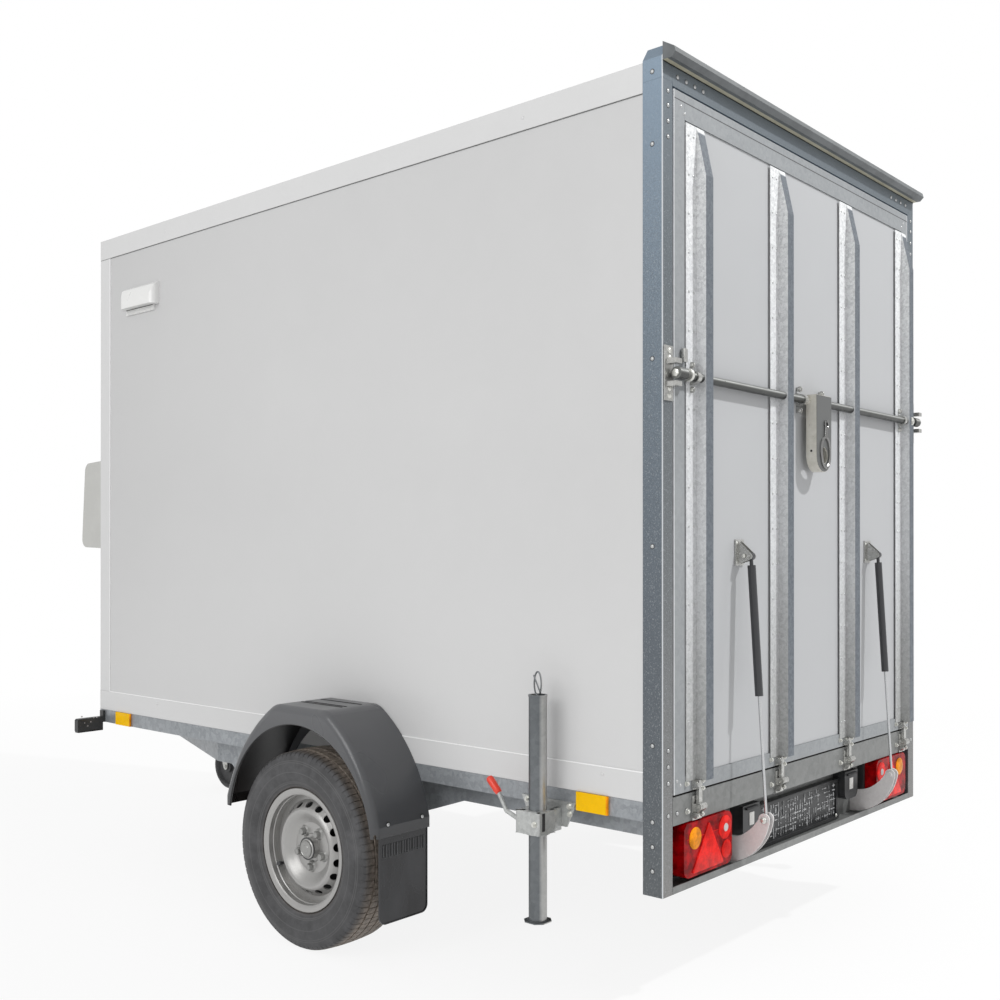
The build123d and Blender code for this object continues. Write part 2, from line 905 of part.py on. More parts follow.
# Gas struts: cylinder above, rod below
strut_run = Vector(0, strut_pin_reach - strut_reach, strut_pin_height - strut_top)
strut_length = strut_run.length
rod_travel = 200
rod_hold = 50
neck_radius = 5
neck_length = 24
for side, middle in (("left", strut_x), ("right", -strut_x)):
    axis = Plane(origin=(middle, pivot_y, strut_top), x_dir=(1, 0, 0), z_dir=strut_run)
    with BuildPart() as cylinder:
        with BuildSketch(Plane.YZ.offset(middle - eye_width / 2)):
            with Locations((pivot_y, strut_top)):
                Circle(eye_radius)
        extrude(amount=eye_width)
        with BuildSketch(axis):
            Circle(neck_radius)
        extrude(amount=neck_length)
        with BuildSketch(axis.offset(neck_length)):
            Circle(cylinder_radius)
        extrude(amount=cylinder_length - neck_length)
        rod(
            (middle - eye_width, pivot_y, strut_top),
            (middle + eye_width, pivot_y, strut_top),
            bracket_pin_radius + stub_clearance,
            mode=Mode.SUBTRACT,
        )
        with BuildSketch(axis.offset(cylinder_length)):
            Circle(rod_bore_radius)
        extrude(amount=-(rod_travel + rod_hold + 10), mode=Mode.SUBTRACT)
    pieces[f"strut_cylinder_{side}"] = cylinder
    with BuildPart() as piston_rod:
        with BuildSketch(axis.offset(cylinder_length - rod_hold)):
            Circle(rod_radius)
        extrude(amount=strut_length - cylinder_length + rod_hold - 4)
        with BuildSketch(Plane.YZ.offset(middle - eye_width / 2)):
            with Locations((pin_y, strut_pin_height)):
                Circle(eye_radius)
        extrude(amount=eye_width)
    pieces[f"strut_rod_{side}"] = piston_rod

# Wheels: each tyre and each steel wheel turned about the stub axle
for side, sign in (("left", 1), ("right", -1)):
    hub = (sign * wheel_x, wheel_y, tyre_radius)
    spin = Axis(hub, (1, 0, 0))
    section = Plane(origin=hub, x_dir=(sign, 0, 0), z_dir=(0, -sign, 0))
    half = tyre_width / 2
    wall_height = rim_radius + 50
    shoulder_height = tyre_radius - 13
    with BuildPart() as tyre:
        with BuildSketch(section):
            with BuildLine():
                Line((-tyre_crown, bead_seat + 1), (tyre_crown, bead_seat + 1))
                Line((tyre_crown, bead_seat + 1), (tyre_crown, rim_radius + 2))
                ThreePointArc((tyre_crown, rim_radius + 2), (half, wall_height), (shoulder, shoulder_height))
                Line((shoulder, shoulder_height), (tyre_crown, tyre_radius - 3))
                Line((tyre_crown, tyre_radius - 3), (tyre_flat, tyre_radius))
                Line((tyre_flat, tyre_radius), (-tyre_flat, tyre_radius))
                Line((-tyre_flat, tyre_radius), (-tyre_crown, tyre_radius - 3))
                Line((-tyre_crown, tyre_radius - 3), (-shoulder, shoulder_height))
                ThreePointArc(
                    (-shoulder, shoulder_height),
                    (-half, wall_height),
                    (-tyre_crown, rim_radius + 2),
                )
                Line((-tyre_crown, rim_radius + 2), (-tyre_crown, bead_seat + 1))
            make_face()
        revolve(axis=spin)
    pieces[f"tyre_{side}"] = tyre
    with BuildPart() as wheel:
        with BuildSketch(section):
            with BuildLine():
                Polyline([(across, rim_radius - drop) for across, drop in rim_line], close=True)
            make_face()
            with BuildLine():
                Polyline([(disc_offset + out, rim_radius - drop) for out, drop in disc_line], close=True)
            make_face()
        revolve(axis=spin)
        face = Plane(origin=hub, x_dir=(0, 0, 1), z_dir=(sign, 0, 0))
        with BuildSketch(face.offset(disc_offset)):
            with PolarLocations(vent_circle, vent_count):
                Circle(vent_radius)
        extrude(amount=rim_width / 4, mode=Mode.SUBTRACT)
        with BuildSketch(section):
            with BuildLine():
                Polyline(
                    (-drum_reach, stub_radius + stub_clearance), (-drum_reach, 38),
                    (disc_offset - 12, 38), (disc_offset - 12, bolt_circle / 2 + 14),
                    (disc_offset, bolt_circle / 2 + 14), (disc_offset, hub_bore + 0.5),
                    (disc_offset + 24, hub_bore + 0.5), (disc_offset + 28, 26), (disc_offset + 28, 0),
                    (disc_offset + 14, 0), (disc_offset + 14, stub_radius + stub_clearance),
                    close=True,
                )
            make_face()
        revolve(axis=spin)
        with BuildSketch(face.offset(disc_offset)):
            with PolarLocations(bolt_circle / 2, bolt_count, start_angle=180):
                Circle(bolt_radius)
        extrude(amount=bolt_reach)
    pieces[f"wheel_{side}"] = wheel

# Fenders: a moulded shell, rounded along its outer edge, with an arch cut in its outer skirt
shells = []
for skin in (0, fender_skin):
    foot = (wheel_y + fender_feet[0], wheel_y + fender_feet[1])
    flat_top = (wheel_y + fender_flat[0], wheel_y + fender_flat[1])
    low = tyre_radius + fender_foot_height
    high = tyre_radius + fender_height
    with BuildPart() as shell:
        with BuildSketch(Plane.YZ.offset(side_x + seam + skin)) as outline:
            with BuildLine():
                Line((foot[0], low), (foot[0], low + flap_lap))
                ThreePointArc(
                    (foot[0], low + flap_lap),
                    (wheel_y + fender_bulge[0], tyre_radius + fender_bulge[2]),
                    (flat_top[0], high),
                )
                Line((flat_top[0], high), (flat_top[1], high))
                ThreePointArc(
                    (flat_top[1], high),
                    (wheel_y + fender_bulge[1], tyre_radius + fender_bulge[2]),
                    (foot[1], low + flap_lap),
                )
                Polyline((foot[1], low + flap_lap), (foot[1], low), (foot[0], low))
            make_face()
            fillet(outline.vertices().group_by(Axis.Y)[-1], fender_corner)
            if skin:
                offset(amount=-skin)
        extrude(amount=fender_width - 2 * skin)
        outer = shell.faces().sort_by(Axis.X)[-1].edges().group_by(Axis.Z)[1:]
        fillet([edge for level in outer for edge in level], fender_round - skin)
    shells.append(shell)
fender_shell, fender_hollow = shells
with BuildPart() as fenders:
    add(fender_shell.part)
    add(fender_hollow.part, mode=Mode.SUBTRACT)
    block(
        (side_x + seam + fender_skin, side_x + seam + fender_width - fender_skin),
        (foot[0] + fender_skin, foot[1] - fender_skin),
        (low - 1, low + fender_skin + 8),
        mode=Mode.SUBTRACT,
    )
    with BuildSketch(Plane.YZ.offset(side_x)):
        with BuildLine():
            ThreePointArc(
                (wheel_y + arch_feet[0], low - 1),
                (wheel_y + arch_top[0], tyre_radius + arch_top[1]),
                (wheel_y + arch_feet[1], low - 1),
            )
            Line((wheel_y + arch_feet[0], low - 1), (wheel_y + arch_feet[1], low - 1))
        make_face()
    extrude(amount=fender_width + 2, mode=Mode.SUBTRACT)
    mirror(about=Plane.YZ)
pieces["fenders"] = fenders

flap_y = foot[1] - fender_skin - seam
with BuildPart() as mudflaps:
    block(
        (side_x + flap_inset, side_x + flap_inset + flap_width),
        (flap_y - flap_skin, flap_y),
        (flap_bottom, low + flap_lap - fender_skin),
    )
    fillet(mudflaps.edges().filter_by(Axis.Y).group_by(Axis.Z)[0], flap_width / 8)
    mirror(about=Plane.YZ)
pieces["mudflaps"] = mudflaps

# Side reflectors on the rails, and marker lamps on arms at the front corners
with BuildPart() as side_reflectors:
    for middle in (rear_y - reflector_setback, front_y + reflector_ahead):
        block(
            (side_x, side_x + reflector_gauge),
            (middle - reflector_half, middle + reflector_half),
            (ground_to_rail, rail_top),
        )
    mirror(about=Plane.YZ)
pieces["side_reflectors"] = side_reflectors

marker_y = (front_y + marker_start, front_y + marker_start + marker_depth)
with BuildPart() as marker_lamps:
    block((side_x, side_x + marker_arm), marker_y, (ground_to_rail + seam, rail_top - rail_gauge))
    block((side_x + marker_arm, side_x + marker_reach), marker_y, marker_span)
    fillet(marker_lamps.edges().filter_by(Axis.Y).group_by(Axis.X)[-1], marker_depth / 3)
    mirror(about=Plane.YZ)
pieces["marker_lamps"] = marker_lamps

# Vent cowl: a hood over the opening high at the front of the left wall, on a shallow base
vent_back = wall_x
vent_rear = front_y + vent_ahead
with BuildPart() as vent_cowl:
    with BuildSketch(Plane.XZ.offset(-vent_rear)):
        with BuildLine():
            Polyline(
                (vent_back, vent_bottom),
                (vent_back + vent_reach, vent_bottom),
                (vent_back + vent_reach, vent_bottom + vent_height * 0.4),
                (vent_back + vent_reach * 0.6, vent_bottom + vent_height * 0.85),
                (vent_back, vent_bottom + vent_height),
                close=True,
            )
        make_face()
    extrude(amount=vent_length)
    fillet(vent_cowl.edges().filter_by(Axis.Z).group_by(Axis.X)[-1], vent_reach * 0.7)
    block(
        (vent_back, vent_back + vent_base),
        (vent_rear - vent_length + vent_base, vent_rear - vent_length / 8),
        (vent_bottom - vent_lip, vent_bottom),
    )
pieces["vent_cowl"] = vent_cowl

# Front cabinet: a moulded case that leans out towards its foot
cabinet_x = side_x - cabinet_inset
with BuildPart() as front_cabinet:
    with BuildSketch(Plane.YZ.offset(cabinet_x - cabinet_width)) as case:
        with BuildLine():
            Polyline(
                (front_y, cabinet_bottom),
                (front_y - cabinet_foot, cabinet_bottom + 8),
                (front_y - cabinet_depth, cabinet_top - 12),
                (front_y, cabinet_top),
                close=True,
            )
        make_face()
        fillet(case.vertices().sort_by(Axis.X)[:2], cabinet_corner)
    extrude(amount=cabinet_width)
pieces["front_cabinet"] = front_cabinet

# Prop stands near the rear corners: a clamp with its lever on a bracket, and a leg
prop_x = side_x + prop_outset
prop_y = rear_y - prop_setback
clamp_top = clamp_bottom + clamp_height
clamp_radius = prop_radius + clamp_wall
lever = [(prop_x + x, prop_y + y, z) for x, y, z in lever_points]
grip = (prop_x + grip_end[0], prop_y + grip_end[1], grip_end[2])
with BuildPart() as prop_clamps:
    with BuildSketch(Plane.XY.offset(clamp_bottom)):
        with Locations((prop_x, prop_y)):
            Circle(clamp_radius)
        with Locations(((side_x + bracket_gauge + prop_x) / 2, prop_y)):
            Rectangle(prop_x - side_x - bracket_gauge, clamp_radius)
    extrude(amount=clamp_height)
    with BuildSketch(Plane.YZ.offset(side_x)):
        with BuildLine():
            Polyline(
                (prop_y - bracket_ahead, bracket_top),
                (prop_y - bracket_ahead + bracket_slope, bracket_bottom),
                (prop_y + bracket_behind - bracket_slope, bracket_bottom),
                (prop_y + bracket_behind, bracket_top),
                close=True,
            )
        make_face()
    extrude(amount=bracket_gauge)
    rod(
        (prop_x, prop_y, clamp_bottom - 1),
        (prop_x, prop_y, clamp_top + 1),
        prop_radius + slide_clearance,
        mode=Mode.SUBTRACT,
    )
    rod(lever[0], lever[1], lever_radius)
    rod(lever[1], lever[2], lever_radius)
    rod(lever[2], grip, grip_radius)
    mirror(about=Plane.YZ)
pieces["prop_clamps"] = prop_clamps

for side, sign in (("left", 1), ("right", -1)):
    with BuildPart() as prop_leg:
        rod((sign * prop_x, prop_y, prop_foot + 1), (sign * prop_x, prop_y, prop_top), prop_radius)
        block(
            sorted((sign * (prop_x - foot_half), sign * (prop_x + foot_half))),
            (prop_y - foot_half, prop_y + foot_half),
            (prop_foot, prop_foot + foot_gauge),
        )
        with BuildSketch(Plane.YZ.offset(sign * prop_x)):
            with Locations((prop_y, prop_top + loop_length * 0.3)):
                SlotOverall(loop_length, loop_width, rotation=90)
                SlotOverall(
                    loop_length - 2 * loop_gauge,
                    loop_width - 2 * loop_gauge,
                    rotation=90,
                    mode=Mode.SUBTRACT,
                )
        extrude(amount=loop_gauge / 2, both=True)
    pieces[f"prop_leg_{side}"] = prop_leg

# Jockey wheel: clamp with outer tube, inner leg, caster fork and wheel
jockey_x = -jockey_across
jockey_y = front_y - jockey_ahead
clamp_low = beam_bottom + 30
clamp_high = ground_to_rail - 20
crank_z = jockey_tube_top + crank_rise
arm_from = jockey_y - 30
arm_to = jockey_y + 30
with BuildPart() as jockey_clamp:
    rod((jockey_x, jockey_y, jockey_tube_bottom), (jockey_x, jockey_y, jockey_tube_top), jockey_tube_radius)
    with BuildSketch(Plane.XY.offset(clamp_low)):
        with BuildLine():
            Polyline(
                (jockey_x, arm_from),
                (-beam_nose_x - (arm_from - apex_y) * beam_spread - seam, arm_from),
                (-beam_nose_x - (arm_to - apex_y) * beam_spread - seam, arm_to),
                (jockey_x, arm_to),
                close=True,
            )
        make_face()
    extrude(amount=clamp_high - clamp_low)
    rod(
        (jockey_x, jockey_y, jockey_tube_bottom - 1),
        (jockey_x, jockey_y, jockey_tube_top - 10),
        jockey_inner_radius + slide_clearance,
        mode=Mode.SUBTRACT,
    )
    rod((jockey_x, jockey_y, jockey_tube_top - 1), (jockey_x, jockey_y, crank_z + 6), 8)
    rod((jockey_x, jockey_y, crank_z), (jockey_x, jockey_y - crank_reach, crank_z), 6)
    rod(
        (jockey_x, jockey_y - crank_reach, crank_z - 6),
        (jockey_x, jockey_y - crank_reach, crank_z + crank_grip),
        11,
    )
pieces["jockey_clamp"] = jockey_clamp

fork_top = 2 * jockey_wheel_radius + jockey_head
swivel_radius = 8
with BuildPart() as jockey_leg:
    rod((jockey_x, jockey_y, fork_top), (jockey_x, jockey_y, jockey_inner_top), jockey_inner_radius)
    rod((jockey_x, jockey_y, fork_top - 14), (jockey_x, jockey_y, fork_top), swivel_radius)
    rod((jockey_x, jockey_y, fork_top - 14), (jockey_x, jockey_y, fork_top - 6), 13)
pieces["jockey_leg"] = jockey_leg

fork_side = jockey_wheel_width / 2 + fork_gap
fork_low = fork_top - 5.5
jockey_axle_y = jockey_y + jockey_trail
with BuildPart() as jockey_fork:
    block(
        (jockey_x - fork_side - fork_gauge, jockey_x + fork_side + fork_gauge),
        (jockey_y - 24, jockey_axle_y + 20),
        (fork_low, fork_top - 0.3),
    )
    rod(
        (jockey_x, jockey_y, fork_low - 1),
        (jockey_x, jockey_y, fork_top),
        swivel_radius + stub_clearance,
        mode=Mode.SUBTRACT,
    )
    for start in (jockey_x + fork_side, jockey_x - fork_side - fork_gauge):
        with BuildSketch(Plane.YZ.offset(start)):
            with Locations((jockey_axle_y, jockey_wheel_radius)):
                Circle(2 * jockey_axle_radius)
            with Locations((jockey_y + 20, fork_top - 3)):
                Rectangle(80, 4)
            make_hull()
        extrude(amount=fork_gauge)
    rod(
        (jockey_x - fork_side - 2 * fork_gauge, jockey_axle_y, jockey_wheel_radius),
        (jockey_x + fork_side + 2 * fork_gauge, jockey_axle_y, jockey_wheel_radius),
        jockey_axle_radius,
    )
pieces["jockey_fork"] = jockey_fork

jockey_half = jockey_wheel_width / 2
jockey_hub = (jockey_x, jockey_axle_y, jockey_wheel_radius)
with BuildPart() as jockey_wheel:
    with BuildSketch(Plane(origin=jockey_hub, x_dir=(1, 0, 0), z_dir=(0, -1, 0))) as jockey_section:
        with BuildLine():
            Polyline(
                (0, jockey_axle_radius + stub_clearance),
                (jockey_half, jockey_axle_radius + stub_clearance),
                (jockey_half, 30),
                (jockey_half - 16, 30),
                (jockey_half - 16, jockey_rim_radius - 8),
                (jockey_half - 3, jockey_rim_radius),
                (jockey_half, jockey_wheel_radius - 12),
                (jockey_half - 10, jockey_wheel_radius),
                (0, jockey_wheel_radius),
                close=True,
            )
        make_face()
        mirror(about=Plane.YZ)
    revolve(axis=Axis(jockey_hub, (1, 0, 0)))
pieces["jockey_wheel"] = jockey_wheel

for name, piece in pieces.items():
    piece.part.label = name
    export_step(piece.part, f"parts/{name}.step")
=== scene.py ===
import math
import random

import bmesh
import bpy
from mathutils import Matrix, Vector


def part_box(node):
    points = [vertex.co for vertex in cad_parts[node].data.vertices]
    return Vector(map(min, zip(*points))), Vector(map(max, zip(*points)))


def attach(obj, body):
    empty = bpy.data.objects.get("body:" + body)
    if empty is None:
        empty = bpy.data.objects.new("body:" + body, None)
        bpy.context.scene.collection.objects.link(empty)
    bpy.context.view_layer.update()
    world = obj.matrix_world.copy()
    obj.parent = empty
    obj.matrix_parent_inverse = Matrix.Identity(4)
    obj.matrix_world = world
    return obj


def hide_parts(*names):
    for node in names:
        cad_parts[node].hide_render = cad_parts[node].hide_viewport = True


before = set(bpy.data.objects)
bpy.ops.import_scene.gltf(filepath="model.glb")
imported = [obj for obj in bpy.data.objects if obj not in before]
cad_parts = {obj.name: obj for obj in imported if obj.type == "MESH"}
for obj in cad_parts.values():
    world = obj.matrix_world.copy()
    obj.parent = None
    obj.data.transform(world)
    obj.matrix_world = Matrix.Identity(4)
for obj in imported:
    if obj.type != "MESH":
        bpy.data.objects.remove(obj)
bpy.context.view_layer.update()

# Places of the trailer, read from the frame (metres, +X its left, +Y its rear, +Z up)
post_low, post_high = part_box("rear_portal")
side_x = post_high.x
rear_y = post_high.y
post_front = post_low.y
post_wide = 0.045
post_inner = side_x - post_wide
wall_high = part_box("side_walls")[1]
front_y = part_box("front_wall")[0].y
rail_low, rail_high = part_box("side_rails")
gutter_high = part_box("rain_gutter")[1]
frame_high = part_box("ramp_frame")[1]
rib_low, rib_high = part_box("ramp_stiffeners")
sill_low, sill_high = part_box("rear_sill")
bay_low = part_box("lamp_bay")[0]
lamp_low, lamp_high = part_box("rear_lamps")
plate_low, plate_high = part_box("plate_holder")
keeper_low, keeper_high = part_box("lock_keepers")
bar_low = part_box("lock_bar")[0]
fender_low, fender_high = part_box("fenders")
flap_low, flap_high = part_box("mudflaps")
leg_low, leg_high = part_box("prop_leg_left")
grip_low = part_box("prop_clamps")[0]
cabinet_low, cabinet_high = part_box("front_cabinet")
vent_low, vent_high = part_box("vent_cowl")
marker_low, marker_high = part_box("marker_lamps")
tyre_low, tyre_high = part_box("tyre_left")
rim_low, rim_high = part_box("wheel_left")
hub = (tyre_low + tyre_high) / 2
tyre_radius = (tyre_high.z - tyre_low.z) / 2
tyre_half = (tyre_high.x - tyre_low.x) / 2
rim_radius = (rim_high.z - rim_low.z) / 2
bar_z = (keeper_low.z + keeper_high.z) / 2
bar_stand = 0.015
bar_y = rear_y + bar_stand
prop = (leg_low + leg_high) / 2

# Camera: the photograph's viewpoint, fitted to the body's edges
camera_place = (3.1617, rear_y + 1.5805, 1.192)
camera_turn = math.radians(40.80)
camera_tilt = math.radians(0.14)
camera_lens = 41.7
camera_film = 36.0
camera_shift = (-0.0155, 0.0456)


class Wire:
    """A value on a node sheet. Python's operators add Math nodes to it."""

    def __init__(self, sheet, socket):
        self.sheet = sheet
        self.socket = socket

    def math(self, operation, *values):
        return self.sheet.node("ShaderNodeMath", {"operation": operation}, values)

    def __add__(self, other):
        return self.math("ADD", self, other)

    def __sub__(self, other):
        return self.math("SUBTRACT", self, other)

    def __rsub__(self, other):
        return self.math("SUBTRACT", other, self)

    def __mul__(self, other):
        return self.math("MULTIPLY", self, other)

    def __abs__(self):
        return self.math("ABSOLUTE", self)

    def most(self, other):
        return self.math("MAXIMUM", self, other)

    def wave(self):
        return self.math("SINE", self)

    def between(self, low, high, new_low=0.0, new_high=1.0):
        """Maps low..high onto new_low..new_high, held at the ends."""
        return self.sheet.node("ShaderNodeMapRange", {}, (self, low, high, new_low, new_high))

    def near(self, middle, half, soft):
        """1 within half of the middle, fading to 0 over the soft width."""
        return abs(self - middle).between(half, half + soft, 1.0, 0.0)


class Finish:
    """A material, and the node sheet that draws it on Object coordinates."""

    def __init__(self, name):
        self.material = bpy.data.materials.new(name)
        self.material.use_nodes = True
        self.tree = self.material.node_tree
        self.tree.nodes.clear()
        self.place = self.node("ShaderNodeTexCoord", output="Object")
        self.facing = self.node("ShaderNodeTexCoord", output="Normal")

    def node(self, kind, settings=None, sockets=(), output=0):
        made = self.tree.nodes.new(kind)
        for key, value in (settings or {}).items():
            if key == "stops":
                self.set_stops(made.color_ramp, value)
            else:
                setattr(made, key, value)
        pairs = sockets.items() if isinstance(sockets, dict) else enumerate(sockets)
        for key, value in pairs:
            if isinstance(value, Wire):
                self.tree.links.new(value.socket, made.inputs[key])
            elif value is not None:
                made.inputs[key].default_value = value
        return Wire(self, made.outputs[output])

    @staticmethod
    def set_stops(ramp, stops):
        while len(ramp.elements) < len(stops):
            ramp.elements.new(1.0)
        for element, (position, color) in zip(ramp.elements, stops):
            element.position = position
            element.color = (*color, 1.0)

    def axis(self, index, vector=None):
        return self.node("ShaderNodeSeparateXYZ", {}, (vector or self.place,), output=index)

    def stretched(self, scale, turn=(0.0, 0.0, 0.0)):
        sockets = {"Vector": self.place, "Scale": scale, "Rotation": turn}
        return self.node("ShaderNodeMapping", {}, sockets)

    def noise(self, scale, detail, rough=0.5, vector=None):
        sockets = {"Vector": vector or self.place, "Scale": scale, "Detail": detail, "Roughness": rough}
        return self.node("ShaderNodeTexNoise", {}, sockets)

    def cells(self, scale, output="Distance"):
        sockets = {"Vector": self.place, "Scale": scale}
        return self.node("ShaderNodeTexVoronoi", {}, sockets, output)

    def ramp(self, factor, stops):
        """A colour read from stops along a value."""
        return self.node("ShaderNodeValToRGB", {"stops": stops}, (factor,))

    def cell_shade(self, scale):
        """An even tone for each cell."""
        return self.axis(0, self.cells(scale, "Color"))

    def distance(self, place, point):
        """How far a place on the sheet is from a point."""
        return self.node("ShaderNodeVectorMath", {"operation": "DISTANCE"}, (place, point), output="Value")

    def mix(self, factor, first, second):
        settings = {"data_type": "RGBA"}
        sockets = {0: factor, 6: opaque(first), 7: opaque(second)}
        return self.node("ShaderNodeMix", settings, sockets, output=2)

    def bump(self, height, depth, strength):
        return self.node("ShaderNodeBump", {}, {"Height": height, "Distance": depth, "Strength": strength})

    def surface(self, color, rough, metal=0.0, normal=None, **extra):
        sockets = {"Base Color": opaque(color), "Roughness": rough, "Metallic": metal, "Normal": normal}
        sockets.update({key.replace("_", " "): value for key, value in extra.items()})
        self.node_out(self.node("ShaderNodeBsdfPrincipled", {}, sockets))
        return self.material

    def node_out(self, shader):
        out = self.tree.nodes.new("ShaderNodeOutputMaterial")
        self.tree.links.new(shader.socket, out.inputs["Surface"])


def opaque(color):
    """A plain colour gets its alpha; a wire is left as it is."""
    return (*color, 1.0) if isinstance(color, tuple) and len(color) == 3 else color


def scaled(color, factor, lift=0.0):
    return tuple(min(1.0, value * factor + lift) for value in color)


def galvanised(name, dark, light, grain, depth, metal=0.5, gloss=0.42, crown=None, edge=None):
    """Hot-dip zinc: flat spangles under a soft drift of tone; crown and edge are zones of another tone, which
    here hold painted light and shade.
    """
    sheet = Finish(name)
    spangle = sheet.cell_shade(grain)
    small = sheet.cell_shade(grain * 2.6)
    drift = sheet.noise(2.4, 5.0, 0.6)
    fine = sheet.noise(260.0, 2.0, 0.6)
    tone = (spangle * 0.5 + small * 0.25 + fine * 0.25) * depth + drift * (1.0 - depth)
    tone = tone.between(0.25, 0.75)
    color = sheet.mix(tone, dark, light)
    for zone in (crown, edge):
        if zone:
            where, (zone_dark, zone_light) = zone(sheet)
            color = sheet.mix(where, color, sheet.mix(tone, zone_dark, zone_light))
    rough = tone.between(0.0, 1.0, gloss + 0.06, gloss - 0.06)
    return sheet.surface(color, rough, metal, sheet.bump(spangle * 0.4 + fine * 0.3, 0.0002, 0.12))


def post_coat(name):
    """The portal's dull zinc: blue at the top, finely speckled and browner toward the ground; its side and
    rear faces take painted light and shade, and a painted highlight runs down the corner between them.
    """
    sheet = Finish(name)
    up = sheet.axis(2)
    level = up.between(post_low.z, post_high.z)
    # Painted light and shade: the side face and the rear face each get their own tones, by the way the light
    # falls on them.
    side = sheet.ramp(level, ((0.0, (0.125, 0.137, 0.145)), (0.30, (0.130, 0.150, 0.172)),
                              (0.65, (0.165, 0.205, 0.245)), (1.0, (0.210, 0.275, 0.345))))
    rear = sheet.ramp(level, ((0.0, (0.250, 0.245, 0.238)), (0.35, (0.180, 0.192, 0.200)),
                              (0.7, (0.150, 0.172, 0.188)), (1.0, (0.155, 0.182, 0.205))))
    to_rear = sheet.axis(1, sheet.facing).between(0.4, 0.8)
    color = sheet.mix(to_rear, side, rear)
    pits = sheet.noise(420.0, 2.0, 0.75).between(0.38, 0.64)
    rough_part = level.between(0.75, 1.0, 0.42, 0.12)
    color = sheet.mix(pits * rough_part, color, (0.05, 0.055, 0.06))
    slanted = sheet.stretched((1.0, 1.0, 0.8), (0.3, 0.2, 0.1))
    flecks = sheet.noise(300.0, 1.0, 0.5, slanted).between(0.60, 0.68)
    color = sheet.mix(flecks * rough_part, color, (0.36, 0.38, 0.40))
    # A painted highlight: a bright line down the corner between the side and rear faces.
    corner = abs(sheet.axis(0)).near(side_x, 0.0016, 0.0012) * sheet.axis(1).near(rear_y, 0.0016, 0.0012)
    color = sheet.mix(corner, color, (0.62, 0.64, 0.66))
    return sheet.surface(color, pits.between(0.0, 1.0, 0.40, 0.5), 0.45, sheet.bump(pits, 0.0002, 0.25))


def gutter_coat(name):
    """Dark moulded gutter, with an olive seal along the wall side of its underside."""
    sheet = Finish(name)
    soil = sheet.noise(12.0, 5.0, 0.65).between(0.35, 0.65)
    body = sheet.mix(soil, (0.095, 0.103, 0.107), (0.135, 0.145, 0.150))
    olive = sheet.mix(soil, (0.36, 0.34, 0.25), (0.46, 0.44, 0.34))
    below = sheet.axis(2, sheet.facing).between(-0.9, -0.6, 1.0, 0.0)
    reach = gutter_high.y - rear_y
    seal_start, seal_end = rear_y + reach * 0.36, rear_y + reach * 0.38
    wide = sheet.axis(1).between(seal_start, seal_end, 1.0, 0.0)
    return sheet.surface(sheet.mix(below * wide, body, olive), 0.5)


def rib_coat(name):
    """Ribs of the ramp: bright spangles at the top, greyer below, and a dull blue crown; the tones by height
    are painted light with a painted highlight at the top, and the crown's dark blue is a painted reflection.
    """
    sheet = Finish(name)
    drift = sheet.noise(14.0, 5.0, 0.6)
    spangle = sheet.cell_shade(130.0) * 0.4 + sheet.cell_shade(330.0) * 0.25 + drift * 0.35
    tone = spangle.between(0.25, 0.75)
    level = sheet.axis(2).between(rib_low.z, rib_high.z)
    # Painted light: the webs and flanges brighten up the rib to a painted highlight at the top.
    dark = sheet.ramp(level, ((0.0, (0.31, 0.315, 0.31)), (0.35, (0.50, 0.51, 0.52)),
                              (0.7, (0.54, 0.55, 0.56)), (1.0, (0.55, 0.56, 0.57))))
    light = sheet.ramp(level, ((0.0, (0.42, 0.425, 0.42)), (0.35, (0.64, 0.65, 0.66)),
                               (0.7, (0.72, 0.73, 0.74)), (1.0, (0.82, 0.83, 0.83))))
    # Painted reflection: the rear-facing crown is painted a dark, dull blue.
    crown = sheet.mix(tone, (0.10, 0.115, 0.135), (0.140, 0.158, 0.178))
    outward = sheet.axis(1, sheet.facing).between(0.12, 0.2)
    raised = sheet.axis(1).between(rear_y + 0.0045, rear_y + 0.0055)
    color = sheet.mix(outward * raised, sheet.mix(tone, dark, light), crown)
    return sheet.surface(color, tone.between(0.0, 1.0, 0.62, 0.48), 0.15, sheet.bump(spangle, 0.0002, 0.12))


def frame_groove_shade(sheet):
    """A pressed line near the top edge of the ramp's frame, painted dark as the shade in it."""
    groove_drop = 0.021
    line = sheet.axis(2).near(frame_high.z - groove_drop, 0.0010, 0.0008)
    return line, ((0.05, 0.05, 0.055), (0.07, 0.07, 0.075))


def frame_edge(sheet):
    """The folded outer edge of the ramp's frame catches the light."""
    line = abs(sheet.axis(0)).near(frame_high.x, 0.0022, 0.0012)
    return line, ((0.60, 0.61, 0.62), (0.72, 0.73, 0.74))


def painted_right_light(sheet):
    """Painted light: the right-hand side of a round leg, where it faces the rear, takes a lighter, browner
    tone.
    """
    back = sheet.axis(1, sheet.facing).between(0.72, 0.95)
    return back, ((0.34, 0.34, 0.33), (0.52, 0.52, 0.51))


def painted_panel(name, color, ripple=0.35, rough=0.32, falls=()):
    """Coated sheet over a core: nearly flat, with a faint ripple, and painted shade that dims it along the
    axes in falls.
    """
    sheet = Finish(name)
    drift = sheet.noise(1.1, 2.0)
    soil = sheet.noise(7.0, 5.0, 0.65)
    tone = (drift * 0.6 + soil * 0.4).between(0.3, 0.7)
    height = sheet.noise(2.2, 1.0) * 3.0 + sheet.noise(420.0, 2.0) * 0.012
    gloss = soil.between(0.3, 0.7, rough, rough + 0.1)
    normal = sheet.bump(height, 0.004, ripple)
    shade = sheet.mix(tone, scaled(color, 0.965), color)
    for axis, low, high, low_dim, high_dim in falls:
        shade = sheet.mix(sheet.axis(axis).between(low, high, low_dim, high_dim), shade, (0.0, 0.0, 0.0))
    return sheet.surface(shade, gloss, 0.0, normal, Coat_Weight=0.15)


